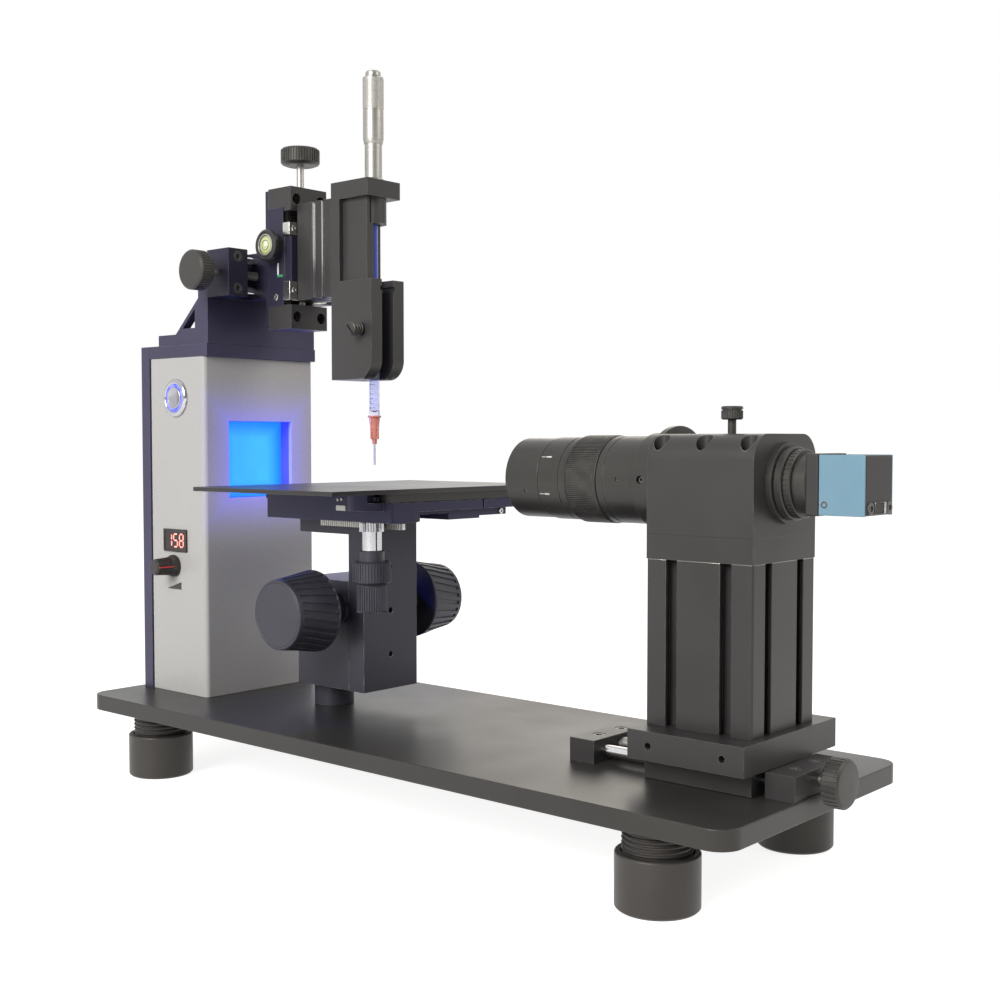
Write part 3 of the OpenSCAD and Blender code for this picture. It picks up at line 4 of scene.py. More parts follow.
import bpy
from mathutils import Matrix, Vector

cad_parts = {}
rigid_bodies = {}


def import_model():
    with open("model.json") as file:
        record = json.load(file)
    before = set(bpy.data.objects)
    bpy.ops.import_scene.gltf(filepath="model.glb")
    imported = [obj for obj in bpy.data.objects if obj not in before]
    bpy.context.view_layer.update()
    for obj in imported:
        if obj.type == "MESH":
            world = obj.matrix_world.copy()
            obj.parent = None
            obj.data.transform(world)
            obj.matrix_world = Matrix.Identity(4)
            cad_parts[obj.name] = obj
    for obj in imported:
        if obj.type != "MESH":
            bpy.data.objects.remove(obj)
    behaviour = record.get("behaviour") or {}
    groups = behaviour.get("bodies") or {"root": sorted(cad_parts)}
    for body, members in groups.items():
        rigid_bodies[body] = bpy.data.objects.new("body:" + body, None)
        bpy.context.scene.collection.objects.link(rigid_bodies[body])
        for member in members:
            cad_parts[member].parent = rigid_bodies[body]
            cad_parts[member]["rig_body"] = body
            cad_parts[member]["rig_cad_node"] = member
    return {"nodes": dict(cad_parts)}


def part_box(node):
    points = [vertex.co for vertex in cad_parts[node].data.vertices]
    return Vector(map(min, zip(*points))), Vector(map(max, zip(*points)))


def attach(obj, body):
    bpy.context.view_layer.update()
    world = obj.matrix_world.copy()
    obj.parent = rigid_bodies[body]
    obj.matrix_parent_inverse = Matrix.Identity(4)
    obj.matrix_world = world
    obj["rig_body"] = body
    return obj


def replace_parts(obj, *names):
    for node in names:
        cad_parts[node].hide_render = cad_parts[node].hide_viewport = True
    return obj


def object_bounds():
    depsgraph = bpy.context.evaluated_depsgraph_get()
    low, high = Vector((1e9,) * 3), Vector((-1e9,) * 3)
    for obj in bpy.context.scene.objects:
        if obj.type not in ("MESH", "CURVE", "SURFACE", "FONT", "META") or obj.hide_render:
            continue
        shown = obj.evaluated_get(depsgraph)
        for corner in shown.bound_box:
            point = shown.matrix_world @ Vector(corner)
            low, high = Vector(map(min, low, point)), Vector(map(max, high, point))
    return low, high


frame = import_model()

cad_low, cad_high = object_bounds()

# Camera, floor and light
# A camera across the near right corner, a pale floor, a broad soft lamp on the controls' side, a
# weak warm one behind and an even sky. Sight lines see plain white, and reflections see a white
# backdrop that darkens towards the camera's end.
picture_side = 1000
focal_in_pixels = 1352.14
sensor = 36
camera_place = (0.53214, -0.58095, 0.21694)
camera_yaw = math.radians(40.96)
camera_pitch = math.radians(2.54)
camera_data = bpy.data.cameras.new("camera")
camera_data.sensor_width = sensor
camera_data.lens = sensor * focal_in_pixels / picture_side
camera_data.clip_start = 0.01
camera_object = bpy.data.objects.new("camera", camera_data)
camera_object.location = camera_place
camera_object.rotation_euler = (math.pi / 2 - camera_pitch, 0, camera_yaw)
bpy.context.scene.collection.objects.link(camera_object)
bpy.context.scene.camera = camera_object
bpy.context.scene.view_settings.view_transform = "Standard"


def made(tree, kind, inputs=(), **settings):
    """The outputs of a new shader node, with its settings and its inputs, plain or linked."""
    node = tree.nodes.new("ShaderNode" + kind)
    for name, value in settings.items():
        setattr(node, name, value)
    for label, value in dict(inputs).items():
        if isinstance(value, bpy.types.NodeSocket):
            tree.links.new(value, node.inputs[label])
        else:
            node.inputs[label].default_value = value
    return node.outputs


def sums(tree, operation, *values):
    """Arithmetic on plain numbers and on the outputs of other nodes."""
    return made(tree, "Math", enumerate(values), operation=operation)[0]


def graded(tree, value, low, high, to_low=0.0, to_high=1.0, course="LINEAR"):
    """Spreads a value from one range to another."""
    ends = {"Value": value, "From Min": low, "From Max": high, "To Min": to_low, "To Max": to_high}
    return made(tree, "MapRange", ends, interpolation_type=course)["Result"]


def placed(tree, which="Object"):
    """The place of a surface point, which patterns follow."""
    return made(tree, "TexCoord")[which]


def seen_or_lighting(tree, seen, lighting):
    """Mixes two shaders: one for sight lines and reflections, the other for light on surfaces."""
    path = made(tree, "LightPath")
    either = sums(tree, "MAXIMUM", path["Is Camera Ray"], path["Is Glossy Ray"])
    any_three = sums(tree, "MAXIMUM", either, path["Is Transmission Ray"])
    return made(tree, "MixShader", {"Fac": any_three, 1: lighting, 2: seen})[0]


world = bpy.data.worlds.new("studio")
bpy.context.scene.world = world
world.use_nodes = True
sky_tree = world.node_tree
white_sky = sky_tree.nodes["Background"]
white_sky.inputs["Color"].default_value = (1, 1, 1, 1)
dim_sky = made(sky_tree, "Background", {"Color": (1, 0.98, 0.95, 1), "Strength": 0.3})
sky_tree.links.new(seen_or_lighting(sky_tree, white_sky.outputs[0], dim_sky[0]),
                   sky_tree.nodes["World Output"].inputs["Surface"])
sky_axes = made(sky_tree, "SeparateXYZ", {0: placed(sky_tree, "Generated")})
sky_side = sums(sky_tree, "MULTIPLY_ADD", sky_axes["Y"], -0.45, sky_axes["X"])
sky_fade = graded(sky_tree, sky_side, -0.1, 0.85, 0, 0.66, "SMOOTHSTEP")
sky_dark = sums(sky_tree, "MULTIPLY", made(sky_tree, "LightPath")["Is Glossy Ray"], sky_fade)
sky_tree.links.new(sums(sky_tree, "SUBTRACT", 1, sky_dark), white_sky.inputs["Strength"])

floor_size = 40
bpy.ops.object.select_all(action="DESELECT")
bpy.ops.mesh.primitive_plane_add(size=floor_size)
floor = bpy.context.active_object
floor.name = "floor"
floor_paint = bpy.data.materials.new("pale floor")
floor_paint.use_nodes = True
floor_tree = floor_paint.node_tree
floor_tree.nodes.remove(floor_tree.nodes["Principled BSDF"])
floor_matt = made(floor_tree, "BsdfDiffuse", {"Color": (0.55, 0.55, 0.55, 1)})[0]
floor_glow = made(floor_tree, "Emission", {"Strength": 0.86})[0]
floor_both = made(floor_tree, "AddShader", {0: floor_matt, 1: floor_glow})[0]
floor_tree.links.new(seen_or_lighting(floor_tree, floor_both, floor_matt),
                     floor_tree.nodes["Material Output"].inputs["Surface"])
floor.data.materials.append(floor_paint)


def lamp(name, place, target, size, watts, colour):
    """A round lamp that the camera doesn't see, aimed at a target."""
    data = bpy.data.lights.new(name, "AREA")
    data.shape = "DISK"
    data.size = size
    data.energy = watts
    data.color = colour
    holder = bpy.data.objects.new(name, data)
    holder.location = place
    holder.rotation_euler = (Vector(target) - Vector(place)).to_track_quat("-Z", "Y").to_euler()
    holder.visible_camera = False
    bpy.context.scene.collection.objects.link(holder)
    return holder


middle = (cad_low + cad_high) / 2
lamp("key", (0.25, -2.2, 1.3), middle, 1.4, 57, (1, 0.985, 0.96))
lamp("fill", (2.2, 0.9, 1.6), middle, 1.6, 22, (1, 0.95, 0.88))
lamp("back", (-1.4, 2.1, 1.25), (0.2, 0, 0.1), 1.1, 5, (1, 0.9, 0.75))

# Base plate
# One milled and black anodised aluminium plate with rounded corners and broken edges. It brings in
# the tools that every piece after it is worked with: they take places in metres, from the frame,
# and sizes in millimetres.
mm = 0.001
body_of = {name: node["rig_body"] for name, node in frame["nodes"].items()}


def measured(node):
    """A node's two corners and its middle in metres, and its sizes in millimetres."""
    low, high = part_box(node)
    return low, high, (low + high) / 2, (high - low) / mm


def alone(piece):
    """Selects one piece and nothing else."""
    if bpy.context.object and bpy.context.object.mode != "OBJECT":
        bpy.ops.object.mode_set(mode="OBJECT")
    bpy.ops.object.select_all(action="DESELECT")
    piece.select_set(True)
    bpy.context.view_layer.objects.active = piece


def started(name, add, **size_and_place):
    """A primitive with its place in its mesh, as the start of a piece."""
    bpy.ops.object.select_all(action="DESELECT")
    add(**size_and_place)
    piece = bpy.context.active_object
    piece.name = name
    bpy.ops.object.transform_apply(location=True, rotation=True, scale=True)
    return piece


def stock(name, place, low, high):
    """A squared block of stock, its two corners given from a place."""
    low, high = Vector(place) + Vector(low) * mm, Vector(place) + Vector(high) * mm
    return started(name, bpy.ops.mesh.primitive_cube_add, size=1,
                   location=(low + high) / 2, scale=high - low)


def pick(piece, kind, wanted):
    """Goes into edit mode with the wanted points, edges or faces selected, told by their place."""
    alone(piece)
    mesh = piece.data
    for group in (mesh.vertices, mesh.edges, mesh.polygons):
        group.foreach_set("select", [False] * len(group))
    if kind == "EDGE":
        for edge in mesh.edges:
            a, b = (mesh.vertices[i].co for i in edge.vertices)
            edge.select = wanted(a, b)
    elif kind == "FACE":
        for face in mesh.polygons:
            face.select = wanted(face)
    else:
        for point in mesh.vertices:
            point.select = wanted(point.co)
    bpy.context.tool_settings.mesh_select_mode = (kind == "VERT", kind == "EDGE", kind == "FACE")
    bpy.ops.object.mode_set(mode="EDIT")


def put_down():
    """Leaves edit mode."""
    bpy.ops.object.mode_set(mode="OBJECT")


def tidy(piece, apart=0.001):
    """Merges doubled points and turns every face outwards."""
    alone(piece)
    bpy.ops.object.mode_set(mode="EDIT")
    bpy.ops.mesh.select_all(action="SELECT")
    bpy.ops.mesh.remove_doubles(threshold=apart * mm)
    bpy.ops.mesh.normals_make_consistent(inside=False)
    put_down()


def smoothed(piece, sharp):
    """Shades a piece smooth between edges sharper than an angle."""
    alone(piece)
    bpy.ops.object.shade_smooth_by_angle(angle=math.radians(sharp))
    return piece


def eased(piece, width, rounds=2, sharp=35):
    """Breaks the sharp edges, as the last pass of a tool does, and shades the rest smooth."""
    smoothed(piece, sharp)
    bevel = piece.modifiers.new("broken edges", "BEVEL")
    bevel.width = width * mm
    bevel.segments = rounds
    bevel.limit_method = "ANGLE"
    bevel.angle_limit = math.radians(sharp)
    bpy.ops.object.modifier_apply(modifier=bevel.name)
    flat = piece.modifiers.new("flat faces", "WEIGHTED_NORMAL")
    flat.keep_sharp = True
    bpy.ops.object.modifier_apply(modifier=flat.name)
    return piece


def sits_on(piece, material, node):
    """A piece that goes with a node's body."""
    piece.data.materials.clear()
    piece.data.materials.append(material)
    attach(piece, body_of[node])
    return piece


def stands_for(piece, material, node):
    """The piece takes the place and body of a node, and the node is hidden."""
    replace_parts(sits_on(piece, material, node), node)
    return piece


def cut_away(piece, tool):
    """Cuts a tool's shape out of a piece."""
    alone(piece)
    cut = piece.modifiers.new("cut", "BOOLEAN")
    cut.object = tool
    bpy.ops.object.modifier_apply(modifier=cut.name)
    bpy.data.objects.remove(tool)


def machined(node, material, edge, tool=None):
    """A copy of a node's own shape, cut by a tool if there is one, with its edges broken."""
    bpy.ops.object.select_all(action="DESELECT")
    piece = frame["nodes"][node].copy()
    piece.data = piece.data.copy()
    piece.name = node + "_machined"
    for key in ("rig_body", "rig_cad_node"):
        del piece[key]
    piece.parent = None
    bpy.context.scene.collection.objects.link(piece)
    tidy(piece)
    if tool:
        cut_away(piece, tool)
        tidy(piece)
    bpy.ops.object.mode_set(mode="EDIT")
    bpy.ops.mesh.select_all(action="SELECT")
    bpy.ops.mesh.dissolve_limited(angle_limit=math.radians(0.5))
    put_down()
    if edge:
        eased(piece, edge)
    return stands_for(piece, material, node)


def effect_group(name, inputs, outputs):
    """A shader node group with named number sockets."""
    group = bpy.data.node_groups.new(name, "ShaderNodeTree")
    for label in inputs:
        group.interface.new_socket(name=label, in_out="INPUT", socket_type="NodeSocketFloat")
    for label in outputs:
        group.interface.new_socket(name=label, in_out="OUTPUT", socket_type="NodeSocketFloat")
    return group, group.nodes.new("NodeGroupInput").outputs, group.nodes.new("NodeGroupOutput").inputs


def noise(tree, place, scale, detail=3):
    return made(tree, "TexNoise", {"Vector": place, "Scale": scale, "Detail": detail})["Fac"]


def blended(tree, factor, first, second):
    """A colour between two, each a plain colour or another node's output."""
    first, second = ((*tone, 1) if isinstance(tone, tuple) else tone for tone in (first, second))
    return made(tree, "Mix", {0: factor, 6: first, 7: second}, data_type="RGBA")[2]


# Blasted grain: a fine grain for bumps, and slow clouds for colour and gloss
grain_group, grain_in, grain_out = effect_group(
    "blasted grain", ("Grain Scale", "Cloud Scale"), ("Grain", "Clouds"))
grain_place = placed(grain_group)
grain_group.links.new(noise(grain_group, grain_place, grain_in["Grain Scale"], 2), grain_out["Grain"])
grain_clouds = noise(grain_group, grain_place, grain_in["Cloud Scale"], 4)
grain_group.links.new(graded(grain_group, grain_clouds, 0.3, 0.7), grain_out["Clouds"])

# Worn edges: 1 where the surface turns sharply within the width, broken up by patches
edge_group, edge_in, edge_out = effect_group("worn edges", ("Width", "Patch Scale"), ("Wear",))
edge_bevel = made(edge_group, "Bevel", {"Radius": edge_in["Width"]}, samples=4)[0]
edge_true = made(edge_group, "NewGeometry")["Normal"]
edge_dot = made(edge_group, "VectorMath", {0: edge_bevel, 1: edge_true}, operation="DOT_PRODUCT")["Value"]
edge_turn = graded(edge_group, edge_dot, 0.995, 0.93)
edge_noise = noise(edge_group, placed(edge_group), edge_in["Patch Scale"])
edge_patch = graded(edge_group, edge_noise, 0.35, 0.65)
edge_group.links.new(sums(edge_group, "MULTIPLY", edge_turn, edge_patch), edge_out["Wear"])


def effect(tree, group, **numbers):
    """Places an effect group in a material with its own numbers, and gives its outputs."""
    named = {label.replace("_", " "): number for label, number in numbers.items()}
    return made(tree, "Group", named, node_tree=group)


def finish(name, **settings):
    """A material with its shader's plain settings, its tree and the shader's inputs."""
    material = bpy.data.materials.new(name)
    material.use_nodes = True
    inputs = material.node_tree.nodes["Principled BSDF"].inputs
    for label, number in settings.items():
        inputs[label.replace("_", " ")].default_value = number
    return material, material.node_tree, inputs


def bumped(tree, inputs, height, depth):
    bump = made(tree, "Bump", {"Distance": depth * mm, "Height": height})[0]
    tree.links.new(bump, inputs["Normal"])


def black_metal(name, colour, bare, rough, wear=0.35, grain=2600, depth=0.02,
                clouds=14, gloss=0.4, tint=(1, 0.95, 0.88)):
    """Black anodised or enamelled metal: cloudy satin, fine grain, edges rubbed towards bare."""
    material, tree, inputs = finish(name, Specular_IOR_Level=gloss, Specular_Tint=(*tint, 1))
    grains = effect(tree, grain_group, Grain_Scale=grain, Cloud_Scale=clouds)
    worn = effect(tree, edge_group, Width=0.5 * mm, Patch_Scale=160)
    cloudy = blended(tree, grains["Clouds"], colour, tuple(1.45 * c for c in colour))
    amount = sums(tree, "MULTIPLY", worn["Wear"], wear)
    tree.links.new(blended(tree, amount, cloudy, bare), inputs["Base Color"])
    tree.links.new(graded(tree, grains["Clouds"], 0, 1, rough - 0.05, rough + 0.06), inputs["Roughness"])
    bumped(tree, inputs, grains["Grain"], depth)
    return material


plate_black = black_metal("anodised plate", (0.026, 0.025, 0.024), (0.3, 0.28, 0.26), 0.34, wear=0.3)
plate_low, plate_high, _, plate_size = measured("base_plate")
plate_corner = 12
plate = stock("milled_base_plate", plate_low, (0, 0, 0), plate_size)
pick(plate, "EDGE", lambda a, b: abs((a - b).z) > mm)
bpy.ops.mesh.bevel(offset=plate_corner * mm, segments=12, affect="EDGES")
put_down()
stands_for(eased(plate, 0.5, 3), plate_black, "base_plate")

# Levelling feet
# A turned cup screws up and down on a coarse black stud under each corner of the plate.
foot_black = black_metal("blackened feet", (0.029, 0.027, 0.026), (0.2, 0.19, 0.18), 0.42,
                         wear=0.2, grain=3200, clouds=30, gloss=0.5)


def turn_about(axis, angle, centre):
    """Turns what is selected about a line along one of the three axes."""
    letter = "XYZ"[max(range(3), key=lambda i: abs(axis[i]))]
    bpy.ops.transform.rotate(value=-sum(axis) * angle, orient_axis=letter, orient_type="GLOBAL",
                             center_override=centre)


def turned(name, start, axis, profile, sides=96, twist=0):
    """Turns a piece on a lathe: a disc drawn along its axis through (distance, radius) steps."""
    start, axis = Vector(start), Vector(axis).normalized()
    at, radius = profile[0]
    piece = started(name, bpy.ops.mesh.primitive_circle_add, vertices=sides, radius=radius * mm,
                    fill_type="NGON", location=start + axis * at * mm,
                    rotation=Vector((0, 0, 1)).rotation_difference(axis).to_euler())
    bpy.ops.object.mode_set(mode="EDIT")
    bpy.ops.mesh.select_mode(type="FACE")
    bpy.ops.mesh.select_all(action="SELECT")
    for distance, wide in profile[1:]:
        centre = start + axis * distance * mm
        step = axis * (distance - at) * mm
        bpy.ops.mesh.extrude_region_move(TRANSFORM_OT_translate={"value": step})
        if twist and distance != at:
            turn_about(axis, twist * (distance - at), centre)
        if wide != radius:
            grow = wide / radius
            bpy.ops.transform.resize(value=(grow, grow, grow), center_override=centre)
        at, radius = distance, wide
    put_down()
    tidy(piece, 0.0005)
    return piece


stud_r = 17
groove = 1.3
thread_pitch = 2.4
foot_rise = 8
foot_gap = 0.35
well = 6.4
for number in range(1, 5):
    foot_low, _, foot_middle, foot_size = measured(f"foot_cup_{number}")
    cup_r, cup_h = foot_size.x / 2, foot_size.z
    cup = turned(f"levelling_cup_{number}", (foot_middle.x, foot_middle.y, foot_low.z), (0, 0, 1), [
        (0, cup_r - 1.2), (1.2, cup_r), (cup_h - 0.7, cup_r), (cup_h, cup_r - 0.7),
        (cup_h, stud_r + foot_gap), (well, stud_r + foot_gap)])
    stands_for(eased(cup, 0.25), foot_black, f"foot_cup_{number}")
    threads = [(0, stud_r - groove)]
    turns = int(((plate_low.z - foot_low.z) / mm - well - foot_rise - foot_gap) / thread_pitch)
    for turn in range(turns):
        threads += [((turn + share) * thread_pitch, stud_r - groove * cut)
                    for share, cut in ((0.15, 0.9), (0.3, 0.25), (0.5, 0), (0.7, 0.25), (0.85, 0.9))]
    threads.append((turns * thread_pitch, stud_r - groove))
    stud_top = (foot_middle.x, foot_middle.y, plate_low.z)
    thread = smoothed(turned(f"coarse_stud_{number}", stud_top, (0, 0, -1), threads, 72), 60)
    stands_for(thread, foot_black, "foot_studs")

# Light tower
# A folded and painted steel shell with an open window, a black back plate, a black top plate that
# stands a little proud in front, and the bracket of the slides on top.
anodised = black_metal("black anodised", (0.03, 0.029, 0.03), (0.34, 0.32, 0.3), 0.38)
paint, paint_tree, paint_inputs = finish("pearl paint", Specular_IOR_Level=0.45, Coat_Weight=0.15,
                                         Coat_Roughness=0.25, Emission_Strength=1)
paint_grain = effect(paint_tree, grain_group, Grain_Scale=2200, Cloud_Scale=9)
flakes = graded(paint_tree, paint_grain["Grain"], 0.35, 0.65)
paint_mix = blended(paint_tree, flakes, (0.44, 0.435, 0.43), (0.54, 0.535, 0.525))
paint_cloud = sums(paint_tree, "MULTIPLY", paint_grain["Clouds"], 0.25)
paint_tone = blended(paint_tree, paint_cloud, paint_mix, (0.43, 0.42, 0.42))
paint_tree.links.new(paint_tone, paint_inputs["Base Color"])
paint_tree.links.new(graded(paint_tree, flakes, 0, 1, 0.36, 0.46), paint_inputs["Roughness"])
bumped(paint_tree, paint_inputs, paint_grain["Grain"], 0.01)

# Painted glow of the window on the paint round it, an emission that stands for the window's blue light: 1 at
# the window's edge, 0 outside the reach
painted_glow_group, halo_in, halo_out = effect_group("painted window glow", ("Reach", "Face X"), ("Halo",))
shell_low, shell_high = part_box("tower_shell")
_, window_high, window_middle, window_size = measured("window_diffuser")
window_half = window_size.z / 2 * mm
halo_axes = made(painted_glow_group, "SeparateXYZ", {0: placed(painted_glow_group)})
halo_y = sums(painted_glow_group, "SUBTRACT", sums(painted_glow_group, "ABSOLUTE", halo_axes["Y"]), window_high.y)
halo_z = sums(painted_glow_group, "ABSOLUTE", sums(painted_glow_group, "SUBTRACT", halo_axes["Z"], window_middle.z))
halo_z = sums(painted_glow_group, "SUBTRACT", halo_z, window_half)
halo_far = sums(painted_glow_group, "MAXIMUM", sums(painted_glow_group, "MAXIMUM", halo_y, halo_z), 0)
halo_fade = sums(painted_glow_group, "SUBTRACT", 1, sums(painted_glow_group, "DIVIDE", halo_far, halo_in["Reach"]))
halo_fade = sums(painted_glow_group, "POWER", sums(painted_glow_group, "MAXIMUM", halo_fade, 0), 2.2)
halo_front = sums(painted_glow_group, "GREATER_THAN", halo_axes["X"], halo_in["Face X"])
painted_glow_group.links.new(sums(painted_glow_group, "MULTIPLY", halo_fade, halo_front), halo_out["Halo"])
# The paint's emission is this painted glow of the window's light, not a lamp
halo = effect(paint_tree, painted_glow_group, Reach=34 * mm, Face_X=shell_high.x - 4 * mm)
painted_window_glow = blended(paint_tree, halo["Halo"], (0, 0, 0), (0.02, 0.012, 0.5))
paint_tree.links.new(painted_window_glow, paint_inputs["Emission Color"])
machined("tower_shell", paint, 0.3)
violet_black = black_metal("violet black anodised", (0.042, 0.038, 0.076), (0.3, 0.28, 0.36), 0.4,
                           tint=(0.9, 0.88, 1))
for node in ("tower_back_plate", "tower_top_plate", "tower_bracket"):
    machined(node, violet_black, 0.4)

# Window
# A diffuser lit from behind by a board of blue lights, deep in a white lined box whose blue tone and glow
# are painted light.
lit, lit_tree, lit_inputs = finish("lit diffuser", Roughness=0.5, Emission_Strength=1.0)
lit_place = placed(lit_tree)
lit_shift = {"Vector": lit_place, "Location": -window_middle / window_half,
             "Scale": (0, 1 / window_half, 1 / window_half)}
lit_axes = made(lit_tree, "SeparateXYZ", {0: made(lit_tree, "Mapping", lit_shift)[0]})
lit_y = sums(lit_tree, "ABSOLUTE", lit_axes["Y"])
lit_z = sums(lit_tree, "ABSOLUTE", lit_axes["Z"])
lit_edge = graded(lit_tree, sums(lit_tree, "MAXIMUM", lit_y, lit_z), 0.55, 1.02)
lit_spots = graded(lit_tree, noise(lit_tree, lit_place, 60), 0.3, 0.7, 0, 0.25)
lit_inner = blended(lit_tree, lit_spots, (0.03, 0.33, 1.0), (0.05, 0.45, 1.0))
lit_colour = blended(lit_tree, lit_edge, lit_inner, (0.01, 0.2, 0.95))
lit_tree.links.new(lit_colour, lit_inputs["Emission Color"])
lit_tree.links.new(lit_colour, lit_inputs["Base Color"])


def clouded(name, grain, clouds, dark, light, rough=None, depth=0, **settings):
    """A coat in two cloudy tones, with a grain in its gloss and its surface where it has one."""
    material, tree, inputs = finish(name, **settings)
    grains = effect(tree, grain_group, Grain_Scale=grain, Cloud_Scale=clouds)
    tree.links.new(blended(tree, grains["Clouds"], dark, light), inputs["Base Color"])
    if rough:
        tree.links.new(graded(tree, grains["Grain"], 0.3, 0.7, *rough), inputs["Roughness"])
    if depth:
        bumped(tree, inputs, grains["Grain"], depth)
    return material


def dressed(node, material):
    """A node whose own shape is right takes a finish."""
    mesh = frame["nodes"][node].data
    mesh.materials.clear()
    mesh.materials.append(material)


dressed("window_diffuser", lit)
# The lining's blue base colour and blue emission are painted light: they stand for the window's blue light
# on the white walls
dressed("light_box", clouded("white lining with painted blue light", 900, 40, (0.09, 0.09, 0.4), (0.12, 0.12, 0.46), (0.5, 0.65),
                             Emission_Color=(0.03, 0.04, 0.9, 1), Emission_Strength=0.75))
glow = lamp("window light", (shell_high.x + 0.5 * mm, window_middle.y, window_middle.z),
            (window_high.x + 1, window_middle.y, window_middle.z), 42 * mm, 0.5, (0.03, 0.06, 1))
glow.data.shape = "SQUARE"
glow.visible_glossy = False

# Boards and sockets inside the tower
# A green board carries the blue lights, another the dimmer, and a round inlet takes the power
# plug at the back.
dressed("electronics", clouded("green board", 700, 120, (0.012, 0.12, 0.045), (0.03, 0.22, 0.08),
                               Roughness=0.35))
socket_black = black_metal("moulded socket", (0.022, 0.022, 0.023), (0.06, 0.06, 0.06), 0.45, wear=0.1)
dressed("dc_inlet", socket_black)
screw_black = black_metal("black oxide screws", (0.05, 0.05, 0.052), (0.4, 0.4, 0.4), 0.32, wear=0.5,
                          gloss=0.6)
machined("frame_screws", screw_black, 0.15)

# Power button
# A latching steel push button: polished bezel, a lit blue ring and a cap brushed in circles.


def bright_metal(name, colour, rough, spread=0.06, lines=None, grain=1500):
    """Bright metal with fine tool marks: lines names the axis that the marks go round or along."""
    material, tree, inputs = finish(name, Metallic=1.0)
    grains = effect(tree, grain_group, Grain_Scale=grain, Cloud_Scale=60)
    mark = grains["Grain"]
    if lines:
        mark = noise(tree, made(tree, "Mapping", {"Vector": placed(tree), "Scale": lines})[0], 1, 4)
    toned = blended(tree, graded(tree, mark, 0.3, 0.7), tuple(0.8 * c for c in colour), colour)
    tree.links.new(toned, inputs["Base Color"])
    tree.links.new(graded(tree, grains["Clouds"], 0, 1, rough, rough + spread), inputs["Roughness"])
    bumped(tree, inputs, mark, 0.006)
    return material


def mottled(name, scale, dark, light, **settings):
    """A plain material mottled between two tones, also in its light if it is lit."""
    material, tree, inputs = finish(name, **settings)
    mottle = noise(tree, placed(tree), scale)
    if "Emission_Strength" in settings:
        tone = blended(tree, graded(tree, mottle, 0.35, 0.65), dark, light)
        tree.links.new(tone, inputs["Emission Color"])
    else:
        tone = blended(tree, mottle, dark, light)
    tree.links.new(tone, inputs["Base Color"])
    return material


def from_centre(tree, centre):
    """How far a point lies from a line along Y, for tones that run in rings."""
    shift = {"Vector": placed(tree), "Location": (-centre.x, 0, -centre.z), "Scale": (1, 0, 1)}
    return made(tree, "VectorMath", {0: made(tree, "Mapping", shift)[0]}, operation="LENGTH")["Value"]


chrome = bright_metal("polished chrome", (0.56, 0.56, 0.58), 0.1)
cap_low, _, cap_middle, cap_size = measured("power_button")
cap_r = cap_size.x / 2
button_face = (cap_middle.x, shell_low.y, cap_middle.z)
bezel = turned("button_bezel", button_face, (0, -1, 0), [
    (-14, 10.9), (0, 10.9), (0, 12.5), (0.8, 12.5), (1.6, 12), (2.3, 11), (2.5, 10.2), (2.2, 9.4),
    (1.7, 9.1), (-9, 9.1)])
stands_for(smoothed(bezel, 50), chrome, "power_switch_body")
ring_lit = mottled("lit ring", 220, (0.05, 0.06, 0.72), (0.16, 0.18, 0.95), Roughness=0.3,
                   Emission_Strength=1.6)
ring = turned("button_light_ring", button_face, (0, -1, 0), [
    (0, 7.4), (0, 9.05), (1.5, 9.05), (1.9, 8.5), (1.9, 7.9), (1.6, 7.4), (0, 7.4)])
sits_on(ring, ring_lit, "power_switch_body")
brushed, brushed_tree, brushed_inputs = finish("brushed cap", Metallic=1.0)
brush_rings = {"W": from_centre(brushed_tree, cap_middle), "Scale": 4200, "Detail": 3}
brush_mark = made(brushed_tree, "TexNoise", brush_rings, noise_dimensions="1D")["Fac"]
brushed_tree.links.new(blended(brushed_tree, brush_mark, (0.3, 0.3, 0.33), (0.56, 0.55, 0.6)),
                       brushed_inputs["Base Color"])
brushed_tree.links.new(graded(brushed_tree, brush_mark, 0.3, 0.7, 0.18, 0.34), brushed_inputs["Roughness"])
bumped(brushed_tree, brushed_inputs, brush_mark, 0.02)
cap = turned("button_cap", (cap_middle.x, cap_low.y, cap_middle.z), (0, 1, 0), [
    (0.3, cap_r - 1.2), (0, cap_r - 0.9), (0, cap_r - 0.4), (0.4, cap_r), (9, cap_r)])
stands_for(smoothed(cap, 50), brushed, "power_button")

# Display
# A clipped in panel meter with three red seven segment figures behind a smoked window.
smoked = black_metal("smoked window", (0.012, 0.008, 0.009), (0.03, 0.02, 0.02), 0.12, wear=0.1,
                     depth=0.002, gloss=0.5)
machined("display_module", smoked, 0.3)


def joined(pieces, name):
    """Small pieces joined into one."""
    alone(pieces[0])
    for piece in pieces:
        piece.select_set(True)
    bpy.ops.object.join()
    pieces[0].name = name
    return pieces[0]


